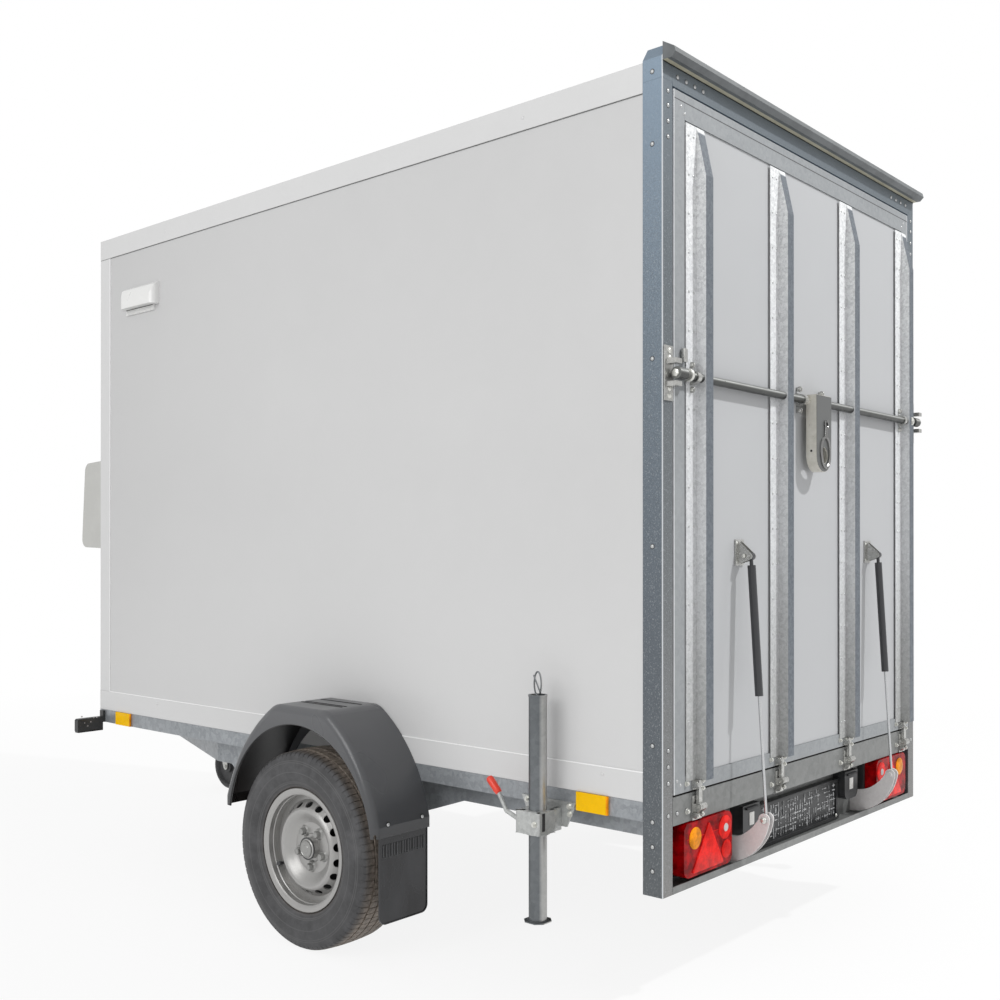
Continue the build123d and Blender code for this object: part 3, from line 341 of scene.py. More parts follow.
def moulded(name, color, rough, rub=1.35):
    """Moulded plastic with a fine leathery grain and rubbed patches."""
    sheet = Finish(name)
    soil = sheet.noise(9.0, 5.0, 0.65)
    shade = sheet.mix(soil.between(0.45, 0.75), color, scaled(color, rub, 0.012))
    normal = sheet.bump(sheet.cells(700.0), 0.0003, 0.25)
    return sheet.surface(shade, soil.between(0.3, 0.7, rough - 0.08, rough + 0.08), 0.0, normal)


def fender_coat(name):
    """Satin black plastic: paler at the top, near black on the side that faces the wheel; the paler top is
    painted light and the near black side is painted shade.
    """
    sheet = Finish(name)
    soil = sheet.noise(4.0, 1.0, 0.5)
    along, up = sheet.axis(1) - hub.y, sheet.axis(2) - hub.z
    outward = along * sheet.axis(1, sheet.facing) + up * sheet.axis(2, sheet.facing)
    level = sheet.axis(2).between(fender_low.z, fender_high.z)
    # Painted light: paler towards the top and darker low down.
    face = sheet.ramp(level, ((0.0, (0.040, 0.041, 0.044)), (0.4, (0.066, 0.068, 0.072)),
                              (0.8, (0.082, 0.084, 0.089)), (1.0, (0.100, 0.102, 0.107))))
    face = sheet.mix(soil.between(0.35, 0.85) * 0.3, face, (0.115, 0.117, 0.122))
    # Painted shade: near black on the faces that look in towards the wheel.
    shade = sheet.mix(outward.between(-0.02, -0.005, 1.0, 0.0), face, (0.010, 0.010, 0.011))
    normal = sheet.bump(sheet.cells(500.0), 0.0002, 0.2)
    return sheet.surface(shade, soil.between(0.3, 0.7, 0.22, 0.36), 0.0, normal)


def flap_coat(name):
    """Glossy black sheet with soft smears where it was rubbed and splashed."""
    sheet = Finish(name)
    smear = sheet.noise(1.0, 1.0, 0.5, sheet.stretched((30.0, 30.0, 7.0), (0.0, 0.5, 0.0)))
    patch = sheet.noise(6.0, 1.0, 0.5)
    tone = (smear * 0.5 + patch * 0.5).between(0.35, 0.65)
    shade = sheet.mix(tone, (0.008, 0.008, 0.010), (0.034, 0.035, 0.039))
    return sheet.surface(shade, tone.between(0.0, 1.0, 0.20, 0.34), 0.0, sheet.bump(patch, 0.002, 0.15))


def lens(name, color, glow, pitch=0.004, contrast=0.35):
    """Coloured lens with fine prisms over a reflector, with dark patches of painted shade for its depth and a
    painted glow of strength glow.
    """
    sheet = Finish(name)
    turn = 2 * math.pi / pitch
    flute = (sheet.axis(0) * turn + sheet.axis(1) * turn).wave()
    rib = (sheet.axis(2) * turn).wave()
    # Painted shade: noise darkens the lens in patches, for the depth behind it.
    depth = sheet.noise(30.0, 3.0, 0.6)
    tone = (flute * rib).between(-1.0, 1.0) * 0.35 + depth.between(0.38, 0.62) * 0.65
    shade = sheet.mix(tone, scaled(color, contrast), color)
    normal = sheet.bump(flute + rib, 0.0003, 0.35)
    # Painted glow: the lens emits its own colour at the strength glow.
    return sheet.surface(shade, 0.16, 0.0, normal, Specular_IOR_Level=0.09,
                         Emission_Color=shade, Emission_Strength=glow)


def rubber(name, color):
    """Tyre rubber: raised rings and dusty patches on the wall, and a mottled lighter brown on the tread."""
    sheet = Finish(name)
    dust = sheet.noise(16.0, 6.0, 0.7)
    scuff = sheet.noise(90.0, 4.0, 0.7)
    inward = hub.x - abs(sheet.axis(0))
    tread_half, wall_start = 0.052, 0.080
    tread_mask = abs(inward).between(tread_half, wall_start, 1.0, 0.0)
    reach = sheet.distance(sheet.stretched((0.0, 1.0, 1.0)), (0.0, hub.y, hub.z))
    bead_ring, wall_rings = 0.1985, (0.2030, 0.2320, 0.2600, 0.2655)
    rings = reach.near(bead_ring, 0.0012, 0.001)
    for radius in wall_rings:
        rings = rings.most(reach.near(radius, 0.0007, 0.0009))
    wall = sheet.mix(dust.between(0.40, 0.70), color, scaled(color, 1.9, 0.012))
    wall = sheet.mix(rings * 0.35, wall, (0.14, 0.14, 0.14))
    brown = sheet.mix(scuff.between(0.35, 0.65), (0.150, 0.125, 0.104), (0.330, 0.280, 0.235))
    height = sheet.noise(500.0, 3.0) * 0.3 + rings
    return sheet.surface(sheet.mix(tread_mask, wall, brown), dust.between(0.3, 0.7, 0.48, 0.68), 0.0,
                         sheet.bump(height, 0.0009, 0.35))


def sprayed(name, color, metal, rough, lacquer=0.2):
    """Sprayed metallic lacquer, or bright metal."""
    sheet = Finish(name)
    flake = sheet.cell_shade(1600.0)
    drift = sheet.noise(12.0, 4.0)
    shade = sheet.mix(flake * 0.5 + drift * 0.5, scaled(color, 0.86), color)
    return sheet.surface(shade, drift.between(0.3, 0.7, rough, rough + 0.1), metal,
                         sheet.bump(flake, 0.0002, 0.1), Coat_Weight=lacquer)


def bar_steel(name):
    """The lock bar: dull round steel with painted light and shade by its upward side, dark below and a bright
    painted highlight band above, and a handle of cream sheet.
    """
    sheet = Finish(name)
    drift = sheet.noise(40.0, 4.0, 0.6)
    upward = sheet.axis(2, sheet.facing).between(-1.0, 1.0)
    # Painted light and shade on the bar: dark on the lower side, a painted highlight band above the middle.
    bar = sheet.ramp(upward, ((0.0, (0.05, 0.052, 0.05)), (0.42, (0.09, 0.093, 0.09)),
                              (0.56, (0.22, 0.225, 0.215)), (0.68, (0.62, 0.63, 0.61)),
                              (0.80, (0.28, 0.285, 0.275)), (1.0, (0.16, 0.165, 0.16))))
    handle = sheet.mix(drift.between(0.3, 0.7), (0.56, 0.54, 0.48), (0.70, 0.68, 0.62))
    zone_half = 0.055
    handle_zone = abs(sheet.axis(0)).between(zone_half, zone_half + 0.001, 1.0, 0.0)
    color = sheet.mix(handle_zone, bar, handle)
    metal = handle_zone.between(0.0, 1.0, 0.85, 0.2)
    return sheet.surface(color, drift.between(0.3, 0.7, 0.26, 0.42), metal, sheet.bump(drift, 0.0004, 0.15))


def plywood(name):
    """Brown film-faced plywood with a pressed hexagon grip."""
    sheet = Finish(name)
    grip = sheet.cells(180.0)
    grain = sheet.noise(6.0, 6.0, 0.6, sheet.stretched((1.0, 9.0, 1.0)))
    shade = sheet.mix(grain.between(0.3, 0.7), (0.045, 0.028, 0.018), (0.09, 0.055, 0.035))
    return sheet.surface(shade, 0.5, 0.0, sheet.bump(grip, 0.0006, 0.5))


post_zinc = post_coat("post_zinc")
rail_zinc = galvanised("rail_zinc", (0.23, 0.245, 0.26), (0.38, 0.40, 0.42), 70.0, 0.45)
frame_zinc = galvanised("frame_zinc", (0.240, 0.252, 0.262), (0.320, 0.335, 0.345), 90.0, 0.35, metal=0.2,
                        gloss=0.55, crown=frame_groove_shade, edge=frame_edge)
rib_zinc = rib_coat("rib_zinc")
bay_zinc = galvanised("bay_zinc", (0.150, 0.155, 0.153), (0.245, 0.250, 0.245), 60.0, 0.3, metal=0.40)
prop_zinc = galvanised("prop_zinc", (0.105, 0.115, 0.122), (0.20, 0.212, 0.222), 60.0, 0.25, metal=0.65,
                       gloss=0.34, crown=painted_right_light)
clamp_zinc = galvanised("clamp_zinc", (0.32, 0.33, 0.325), (0.54, 0.55, 0.54), 90.0, 0.4, gloss=0.34)
bright_zinc = galvanised("bright_zinc", (0.36, 0.36, 0.345), (0.64, 0.64, 0.62), 140.0, 0.4, metal=0.75,
                         gloss=0.28)
arm_zinc = galvanised("arm_zinc", (0.56, 0.535, 0.53), (0.72, 0.70, 0.695), 120.0, 0.3, metal=0.15, gloss=0.5)
bolt_zinc = sprayed("bolt_zinc", (0.72, 0.72, 0.68), 0.7, 0.28)
# Painted shade: the walls are dimmed a little towards the roof and towards the front.
wall_painted_shade = ((2, 0.75, 1.4, 0.0, 0.05), (2, 1.7, 2.3, 0.0, 0.04), (1, front_y, front_y + 1.1, 0.07, 0.0))
wall_white = painted_panel("wall_white", (0.60, 0.60, 0.60), falls=wall_painted_shade)
ramp_white = painted_panel("ramp_white", (0.415, 0.422, 0.432), 0.25, 0.5)
profile_white = painted_panel("profile_white", (0.62, 0.62, 0.62), 0.1)
# Painted highlight: the joint beads are much whiter than the walls.
bead_highlight_white = painted_panel("bead_highlight_white", (0.86, 0.86, 0.86), 0.05, 0.25)
vent_white = painted_panel("vent_white", (0.74, 0.74, 0.73), 0.1, 0.25)
floor_ply = plywood("floor_ply")
fender_black = fender_coat("fender_black")
flap_black = flap_coat("flap_black")
plate_black = moulded("plate_black", (0.018, 0.019, 0.020), 0.36)
# Painted highlight: the raised bars of the black plate holder are coloured light grey.
lattice_highlight_grey = moulded("lattice_highlight_grey", (0.36, 0.365, 0.37), 0.26, rub=1.8)
seal_black = moulded("seal_black", (0.010, 0.010, 0.011), 0.6)
lamp_glass = moulded("lamp_glass", (0.44, 0.435, 0.42), 0.2)
cabinet_grey = moulded("cabinet_grey", (0.48, 0.48, 0.46), 0.5, rub=1.08)
gutter_grey = gutter_coat("gutter_grey")
pad_beige = moulded("pad_beige", (0.42, 0.38, 0.32), 0.6, rub=1.1)
tyre_black = rubber("tyre_black", (0.040, 0.040, 0.042))
wheel_silver = sprayed("wheel_silver", (0.42, 0.415, 0.405), 0.6, 0.34, 0.1)
hub_silver = sprayed("hub_silver", (0.34, 0.34, 0.33), 0.6, 0.32)
handle_grey = sprayed("handle_grey", (0.150, 0.154, 0.153), 0.5, 0.30, 0.1)
hook_steel = sprayed("hook_steel", (0.30, 0.30, 0.295), 0.9, 0.22, 0.0)
rivet_grey = sprayed("rivet_grey", (0.52, 0.53, 0.53), 0.6, 0.30, 0.0)
strut_black = sprayed("strut_black", (0.035, 0.036, 0.040), 0.0, 0.3)
rod_chrome = sprayed("rod_chrome", (0.62, 0.63, 0.64), 0.9, 0.18)
handle_steel = bar_steel("handle_steel")
grip_red = moulded("grip_red", (0.72, 0.045, 0.02), 0.3, rub=1.05)
# Lenses, each with a painted glow: the number after the colour is its strength.
lens_red = lens("lens_red", (0.40, 0.001, 0.003), 0.10, contrast=0.12)
lens_bright = lens("lens_bright", (0.74, 0.014, 0.010), 0.18, 0.0025, 0.40)
lens_amber = lens("lens_amber", (0.88, 0.30, 0.008), 0.20)
lens_clear = lens("lens_clear", (0.72, 0.68, 0.68), 0.03)
lens_yellow = lens("lens_yellow", (0.86, 0.49, 0.004), 0.06, 0.003, 0.90)

# The finish of each node of the frame
for finish, nodes in (
    (rail_zinc, ("side_rails", "cross_members", "chassis_beams", "drawbar_beams", "torsion_axle")),
    (bright_zinc, ("coupling_head", "lock_keepers", "hinge_sockets", "jockey_clamp", "bar_bearings",
                   "hinge_eyes", "strut_brackets", "jockey_leg", "jockey_fork")),
    (wall_white, ("side_walls", "front_wall", "roof")),
    (profile_white, ("roof_rails", "corner_profiles", "bottom_trims")),
    (post_zinc, ("rear_portal", "corner_caps")), (bay_zinc, ("rear_sill", "lamp_bay")),
    (plate_black, ("plate_holder", "plate_lamps", "marker_lamps")),
    (tyre_black, ("tyre_left", "tyre_right", "jockey_wheel")), (wheel_silver, ("wheel_left", "wheel_right")),
    (strut_black, ("strut_cylinder_left", "strut_cylinder_right")),
    (rod_chrome, ("strut_rod_left", "strut_rod_right")), (prop_zinc, ("prop_leg_left", "prop_leg_right")),
    (floor_ply, ("floor",)), (gutter_grey, ("rain_gutter",)), (lens_red, ("rear_lamps",)),
    (arm_zinc, ("strut_arms",)), (fender_black, ("fenders",)), (flap_black, ("mudflaps",)),
    (lens_yellow, ("side_reflectors",)), (vent_white, ("vent_cowl",)), (cabinet_grey, ("front_cabinet",)),
    (clamp_zinc, ("prop_clamps",)), (frame_zinc, ("ramp_frame",)), (ramp_white, ("ramp_panel",)),
    (rib_zinc, ("ramp_stiffeners",)), (handle_steel, ("lock_bar",)),
):
    for node in nodes:
        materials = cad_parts[node].data.materials
        for index in range(len(materials)):
            materials[index] = finish


def rounded(corners, radius, steps):
    """The corners of an outline, each cut by an arc of the given radius."""
    path = []
    for index, corner in enumerate(corners):
        here = Vector(corner)
        back = (Vector(corners[index - 1]) - here).normalized()
        ahead = (Vector(corners[(index + 1) % len(corners)]) - here).normalized()
        half = back.angle(ahead) / 2
        centre = here + (back + ahead).normalized() * (radius / math.sin(half))
        first = here + back * (radius / math.tan(half)) - centre
        last = here + ahead * (radius / math.tan(half)) - centre
        for step in range(steps + 1):
            path.append(tuple(centre + first.lerp(last, step / steps).normalized() * radius))
    return path


def oblong(x, y, radius, steps=6):
    """A rounded rectangle over two spans."""
    return rounded([(x[0], y[0]), (x[1], y[0]), (x[1], y[1]), (x[0], y[1])], radius, steps)


def turns_round(count):
    """Angles at equal steps round a full turn."""
    return [2 * math.pi * index / count for index in range(count)]


def oval(centre, wide, high, sides):
    """An oval outline, or a circle where both half widths are the same."""
    x, y = centre
    return [(x + wide * math.cos(turn), y + high * math.sin(turn)) for turn in turns_round(sides)]


def tube(inner, outer, length):
    """The profile of a ring, or of a solid rod where the inner radius is 0."""
    return [(0, inner), (0, outer), (length, outer), (length, inner)]


class Shape:
    """A mesh being made, in metres, at its place on the trailer."""

    orders = {"yz": (2, 0, 1), "xz": (0, 2, 1), "xy": (0, 1, 2)}

    def __init__(self):
        self.mesh = bmesh.new()

    def loft(self, rings, closed=False):
        """Skins rings of points; closed joins the last ring to the first, and others get end faces."""
        rows = [[self.mesh.verts.new(point) for point in ring] for ring in rings]
        pairs = list(zip(rows, rows[1:]))
        if closed:
            pairs.append((rows[-1], rows[0]))
        for near, far in pairs:
            for index in range(len(near)):
                after = (index + 1) % len(near)
                self.mesh.faces.new((near[index], near[after], far[after], far[index]))
        if not closed:
            self.mesh.faces.new(rows[0])
            self.mesh.faces.new(rows[-1])
        return self

    def placed(self, outline, plane, level):
        order = self.orders[plane]
        return [tuple((*point, level)[index] for index in order) for point in outline]

    def prism(self, outline, plane, span):
        """An outline in a plane, run along the plane's normal."""
        return self.loft([self.placed(outline, plane, level) for level in span])

    def collar(self, outer, inner, plane, span):
        """A prism with a hole: both outlines have the same number of points."""
        low, high = span
        rings = ((outer, low), (outer, high), (inner, high), (inner, low))
        return self.loft([self.placed(outline, plane, level) for outline, level in rings], closed=True)

    def box(self, x, y, z):
        return self.prism([(x[0], y[0]), (x[1], y[0]), (x[1], y[1]), (x[0], y[1])], "xy", z)

    def turned(self, profile, origin, axis, sides=32):
        """A profile of (along, radius) turned about an axis through the origin."""
        along = Vector(axis).normalized()
        first = along.orthogonal().normalized()
        second = along.cross(first)
        rings = []
        for turn in turns_round(sides):
            out = first * math.cos(turn) + second * math.sin(turn)
            rings.append([Vector(origin) + along * step + out * radius for step, radius in profile])
        return self.loft(rings, closed=True)

    def bar(self, start, end, radius, sides):
        run = Vector(end) - Vector(start)
        return self.turned(tube(0, radius, run.length), start, run, sides)

    def sweep(self, points, radius, sides, closed=False):
        """A round bar along a path of points."""
        path = [Vector(point) for point in points]
        count = len(path)
        rings = []
        side = None
        for index, point in enumerate(path):
            before = path[index - 1] if closed or index else point
            after = path[(index + 1) % count] if closed or index < count - 1 else point
            along = (after - before).normalized()
            side = (side - along * side.dot(along)).normalized() if side else along.orthogonal().normalized()
            up = along.cross(side)
            rings.append([point + (side * math.cos(turn) + up * math.sin(turn)) * radius
                          for turn in turns_round(sides)])
        return self.loft(rings, closed=closed)

    def loop(self, centre, wide, high, wire, plane="xz", sides=20, around=8):
        """A closed oval of round wire in a plane."""
        across, up, level = (centre[self.orders[plane].index(step)] for step in range(3))
        path = self.placed(oval((across, up), wide, high, sides), plane, level)
        return self.sweep(path, wire, around, closed=True)

    def clean(self):
        """Joins doubled corners and turns all faces outward."""
        bmesh.ops.remove_doubles(self.mesh, verts=self.mesh.verts, dist=1e-6)
        bmesh.ops.recalc_face_normals(self.mesh, faces=self.mesh.faces)

    def thing(self, name):
        """The shape as an object in the scene; the shape itself is used up."""
        mesh = bpy.data.meshes.new(name)
        self.mesh.to_mesh(mesh)
        self.mesh.free()
        made = bpy.data.objects.new(name, mesh)
        bpy.context.scene.collection.objects.link(made)
        return made

    def less(self, cutter):
        """The shape with another one cut away."""
        self.clean()
        cutter.clean()
        blank, knife = self.thing("blank"), cutter.thing("knife")
        cut = blank.modifiers.new("cut", "BOOLEAN")
        cut.operation = "DIFFERENCE"
        cut.solver = "EXACT"
        cut.object = knife
        shown = blank.evaluated_get(bpy.context.evaluated_depsgraph_get())
        result = bpy.data.meshes.new_from_object(shown)
        left = Shape()
        left.mesh.from_mesh(result)
        bpy.data.objects.remove(blank)
        bpy.data.objects.remove(knife)
        bpy.data.meshes.remove(result)
        return left

    def mirrored(self):
        """Adds the same shape on the trailer's other side."""
        whole = self.mesh.verts[:] + self.mesh.edges[:] + self.mesh.faces[:]
        copy = bmesh.ops.duplicate(self.mesh, geom=whole)
        for item in copy["geom"]:
            if isinstance(item, bmesh.types.BMVert):
                item.co.x = -item.co.x
        return self

    def piece(self, name, finish, body="chassis", bevel=0.0, smooth=35.0):
        """Turns the shape into an object that rides on a body."""
        self.clean()
        if bevel:
            sharp = [edge for edge in self.mesh.edges if edge.calc_face_angle(0.0) > math.radians(smooth)]
            bmesh.ops.bevel(self.mesh, geom=sharp, offset=bevel, offset_type="OFFSET", segments=2,
                            profile=0.5, affect="EDGES", clamp_overlap=True)
        made = self.thing(name)
        made.data.materials.append(finish)
        return settled(made, body, smooth)


def settled(thing, body, smooth=35.0):
    thing.data.polygons.foreach_set("use_smooth", [True] * len(thing.data.polygons))
    thing.data.set_sharp_from_angle(angle=math.radians(smooth))
    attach(thing, body)
    return thing


class Growth:
    """A Geometry Nodes tree with named inputs, which ends in plain faces of one finish."""

    def __init__(self, name, **inputs):
        self.tree = bpy.data.node_groups.new(name, "GeometryNodeTree")
        self.names = {}
        kinds = {"Points": "NodeSocketGeometry", "Finish": "NodeSocketMaterial", "Seed": "NodeSocketInt"}
        for label in ("Points", *inputs, "Finish"):
            kind = kinds.get(label, "NodeSocketFloat")
            socket = self.tree.interface.new_socket(label, in_out="INPUT", socket_type=kind)
            self.names[label] = socket.identifier
        self.tree.interface.new_socket("Result", in_out="OUTPUT", socket_type="NodeSocketGeometry")
        self.inputs = self.tree.nodes.new("NodeGroupInput").outputs

    def node(self, kind, sockets, **settings):
        """Adds a node; a list of sockets goes to one input."""
        made = self.tree.nodes.new(kind)
        for key, value in settings.items():
            setattr(made, key, value)
        for key, value in sockets.items():
            for item in value if isinstance(value, list) else [value]:
                if isinstance(item, bpy.types.NodeSocket):
                    self.tree.links.new(item, made.inputs[key])
                else:
                    made.inputs[key].default_value = item
        return made.outputs[0]

    def end(self, **instances):
        """Puts a shape on the points; the instances become real faces and take the finish."""
        shape = self.node("GeometryNodeInstanceOnPoints", {"Points": self.inputs["Points"], **instances})
        real = self.node("GeometryNodeRealizeInstances", {"Geometry": shape})
        coated = self.node("GeometryNodeSetMaterial", {"Geometry": real, "Material": self.inputs["Finish"]})
        out = self.tree.nodes.new("NodeGroupOutput")
        self.tree.links.new(coated, out.inputs["Result"])
        return self

    def run(self, name, places, finish, body="chassis", **sizes):
        """Grows the shape on (point, facing) pairs and keeps it as one plain mesh."""
        cloud = bpy.data.meshes.new(name)
        cloud.from_pydata([tuple(point) for point, way in places], [], [])
        facing = cloud.attributes.new("facing", "FLOAT_VECTOR", "POINT")
        for item, (point, way) in zip(facing.data, places):
            item.vector = way
        thing = bpy.data.objects.new(name, cloud)
        bpy.context.scene.collection.objects.link(thing)
        modifier = thing.modifiers.new("growth", "NODES")
        modifier.node_group = self.tree
        for label, value in {"Finish": finish, **sizes}.items():
            modifier[self.names[label]] = value
        shown = thing.evaluated_get(bpy.context.evaluated_depsgraph_get())
        mesh = bpy.data.meshes.new_from_object(shown)
        mesh.name = name
        thing.modifiers.clear()
        thing.data = mesh
        return settled(thing, body)


def head_growth(name, stack, domed):
    """Heads on points: a stack of (sides, radius, low, high) in units of the head, with a dome or not."""
    growth = Growth(name, Radius=True, Height=True)
    parts = []
    if domed:
        parts.append(growth.node("GeometryNodeMeshUVSphere", {"Segments": 14, "Rings": 8, "Radius": 1.0}))
    for sides, radius, low, high in stack:
        sockets = {"Vertices": sides, "Radius": radius, "Depth": high - low}
        column = growth.node("GeometryNodeMeshCylinder", sockets)
        sockets = {"Geometry": column, "Translation": (0.0, 0.0, (low + high) / 2)}
        parts.append(growth.node("GeometryNodeTransform", sockets))
    head = growth.node("GeometryNodeJoinGeometry", {"Geometry": parts})
    way = growth.node("GeometryNodeInputNamedAttribute", {"Name": "facing"}, data_type="FLOAT_VECTOR")
    turn = growth.node("FunctionNodeAlignRotationToVector", {"Vector": way}, axis="Z")
    radius, height = growth.inputs["Radius"], growth.inputs["Height"]
    size = growth.node("ShaderNodeCombineXYZ", {"X": radius, "Y": radius, "Z": height})
    return growth.end(Instance=head, Rotation=turn, Scale=size)


def relief_growth(name):
    """Small raised bars on points, each stretched by its own seeded amount."""
    growth = Growth(name, Long=True, Wide=True, Height=True, Seed=True)
    long, wide, height, seed = [growth.inputs[label] for label in ("Long", "Wide", "Height", "Seed")]
    cube = growth.node("GeometryNodeMeshCube", {"Size": (1.0, 1.0, 1.0)})
    sockets = {"Min": (0.15, 0.15, 0.5), "Max": (1.0, 1.0, 1.0), "Seed": seed}
    share = growth.node("FunctionNodeRandomValue", sockets, data_type="FLOAT_VECTOR")
    most = growth.node("ShaderNodeCombineXYZ", {"X": long, "Y": height, "Z": wide})
    size = growth.node("ShaderNodeVectorMath", {0: share, 1: most}, operation="MULTIPLY")
    return growth.end(Instance=cube, Scale=size)


rivets = head_growth("rivets", (), True)
bolts = head_growth("bolts", ((20, 1.0, 0.0, 0.2), (6, 0.8, 0.2, 0.75), (12, 0.42, 0.75, 1.0)), False)
buttons = head_growth("buttons", ((20, 1.0, -0.5, 0.35),), True)
relief = relief_growth("relief")

to_left = (1.0, 0.0, 0.0)
to_rear = (0.0, 1.0, 0.0)
upward = (0.0, 0.0, 1.0)
downward = (0.0, 0.0, -1.0)


def facing(way, places):
    """Places for heads that all face one way."""
    return [(place, way) for place in places]


def both(places):
    """The places, and the same on the other side of the trailer."""
    return places + [((-x, y, z), (-a, b, c)) for (x, y, z), (a, b, c) in places]


def evenly(first, last, count):
    return [first + (last - first) * index / (count - 1) for index in range(count)]


def beside(place, low, high):
    """A span measured from a place."""
    return (place + low, place + high)


def blocks(name, finish, *spans, body="chassis", bevel=0.0, paired=True):
    """Blocks as one piece, each with its spans along x, y and z; paired adds the trailer's other side."""
    shape = Shape()
    for x, y, z in spans:
        shape.box(x, y, z)
    if paired:
        shape.mirrored()
    shape.piece(name, finish, body, bevel)


def arc(start, through, end, steps):
    """Points on the circle through three points, from the first to the last."""
    (ax, ay), (bx, by), (cx, cy) = start, through, end
    twice = 2 * (ax * (by - cy) + bx * (cy - ay) + cx * (ay - by))
    a, b, c = ax * ax + ay * ay, bx * bx + by * by, cx * cx + cy * cy
    middle_x = (a * (by - cy) + b * (cy - ay) + c * (ay - by)) / twice
    middle_y = (a * (cx - bx) + b * (ax - cx) + c * (bx - ax)) / twice
    radius = math.hypot(ax - middle_x, ay - middle_y)
    turns = [math.atan2(y - middle_y, x - middle_x) for x, y in (start, through, end)]
    sweep = (turns[2] - turns[0]) % (2 * math.pi)
    if (turns[1] - turns[0]) % (2 * math.pi) > sweep:
        sweep -= 2 * math.pi
    at = [turns[0] + sweep * step / steps for step in range(steps + 1)]
    return [(middle_x + radius * math.cos(turn), middle_y + radius * math.sin(turn)) for turn in at]


# Tyres: the section is drawn once, and pitches of the tread are cut round the wheel
tread_pitches = 88
tread_columns = ((0.0, ""), (0.26, ""), (0.29, "rib"), (0.36, "rib"), (0.39, ""), (0.80, ""),
                 (0.83, "shoulder"), (0.93, "shoulder"))
groove_depth = 0.006
sipe_depth = 0.0024
groove_half = 0.0032
groove_middles = (0.047, 0.016)
tread_edge = 0.068
crown_drop = 0.003


def tyre_half_section():
    """Half of the section as (across, radius, cut), from the bead out and up to the middle line."""
    bead = [(0.070, rim_radius - 0.016), (0.070, rim_radius + 0.001)]
    lip = [(0.0735, rim_radius + 0.004), (0.0770, rim_radius + 0.0045), (0.0785, rim_radius + 0.008)]
    wall = arc((0.0795, rim_radius + 0.011), (tyre_half, rim_radius + 0.050),
               (0.0845, tyre_radius - 0.017), 12)
    shoulder = arc((0.0845, tyre_radius - 0.0165), (0.0785, tyre_radius - 0.0070),
                   (tread_edge, tyre_radius - crown_drop), 5)
    points = [(across, radius, "") for across, radius in bead + lip + wall]
    points += [(across, radius, "shoulder") for across, radius in shoulder]
    for middle in groove_middles:
        for across, depth in ((groove_half, 0.0), (groove_half * 0.8, groove_depth),
                              (-groove_half * 0.8, groove_depth), (-groove_half, 0.0)):
            top = tyre_radius - crown_drop * ((middle + across) / tread_edge) ** 2
            cut = "shoulder" if middle == groove_middles[0] and across > 0 else "rib"
            points.append((middle + across, top - depth, "" if depth else cut))
    return points


def tyre(side, sign):
    """A tyre with its tread, which takes the place of the solid one."""
    half = tyre_half_section()
    section = half + [(-across, radius, cut) for across, radius, cut in reversed(half)]
    rings = []
    for pitch in range(tread_pitches):
        for share, cutting in tread_columns:
            turn = 2 * math.pi * (pitch + share) / tread_pitches
            back, up = math.sin(turn), math.cos(turn)
            ring = []
            for across, radius, cut in section:
                reach = radius - (sipe_depth if cut and cut == cutting else 0.0)
                ring.append((sign * (hub.x + across), hub.y + reach * back, hub.z + reach * up))
            rings.append(ring)
    shape = Shape().loft(rings, closed=True)
    made = shape.piece(f"tread_tyre_{side}", tyre_black, f"wheel_{side}", smooth=30.0)
    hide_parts(f"tyre_{side}")


# Wheels: sections as (across, radius) in millimetres from the middle of the hub
rim_section = (
    (-77, 182.5), (-72.5, 182.5), (-71, 165.5), (-40, 165.5), (-28, 152), (8, 152), (22, 165.5), (71, 165.5),
    (72.3, 181), (74.5, 182.5), (76.6, 181.6), (77, 179), (75.6, 172), (74, 166.5), (71.5, 163), (57, 161.9),
    (55, 159.9), (45, 159.9), (43, 161.3), (24, 161.3), (10, 148), (-30, 148), (-42, 161.5), (-74, 161.5),
)
disc_section = (
    (34, 32), (34, 40), (36.4, 44), (36.4, 69), (35.4, 75), (38.5, 82), (46, 90), (53, 98), (58.4, 106),
    (60.6, 111), (60.7, 116), (58.4, 121), (54, 125), (38, 138.5), (34, 143.5), (33, 150), (33, 162),
    (29, 162), (29, 150), (30.5, 141.5), (35.5, 135.6), (52, 121.6), (55.6, 118), (57, 115), (56.8, 112),
    (55, 108), (50.4, 100.8), (43.5, 93), (36, 85.4), (31.9, 77), (30.6, 70), (30.6, 32),
)
hub_section = (
    (-100, 15.2), (-100, 38), (18, 38), (18, 70), (30.4, 70), (30.4, 31.8), (54, 31.8), (57.6, 26), (57.6, 0),
    (44, 0), (44, 15.2),
)
vent_count = 18
vent_middle = (0.0470, 0.1308)
vent_lean = (0.64, 0.77)
vent_radius = 0.0124
vent_cut = 0.012
disc_face = 0.0362
cap_seat = 0.0578
ring_seat = 0.0535
drum_seat = 0.020
bolt_count = 5
bolt_circle = 0.056
bolt_seat = ((0, 0), (0, 0.0175), (0.0045, 0.0135), (0.0045, 0))
bolt_head = ((0, 0), (0, 0.0112), (0.0125, 0.0112), (0.0150, 0.0098), (0.0170, 0.0050), (0.0175, 0))
cap_profile = ((0, 0), (0, 0.0255), (0.0035, 0.0250), (0.0045, 0.0225), (0.003, 0.0205), (0.003, 0.012),
               (0.0042, 0.0105), (0.0042, 0))
valve_rods = ((0.036, -0.1370, -0.0700, 0.060, -0.1240, -0.0640, 0.0050),
              (0.054, -0.1270, -0.0655, 0.070, -0.1185, -0.0615, 0.0064))


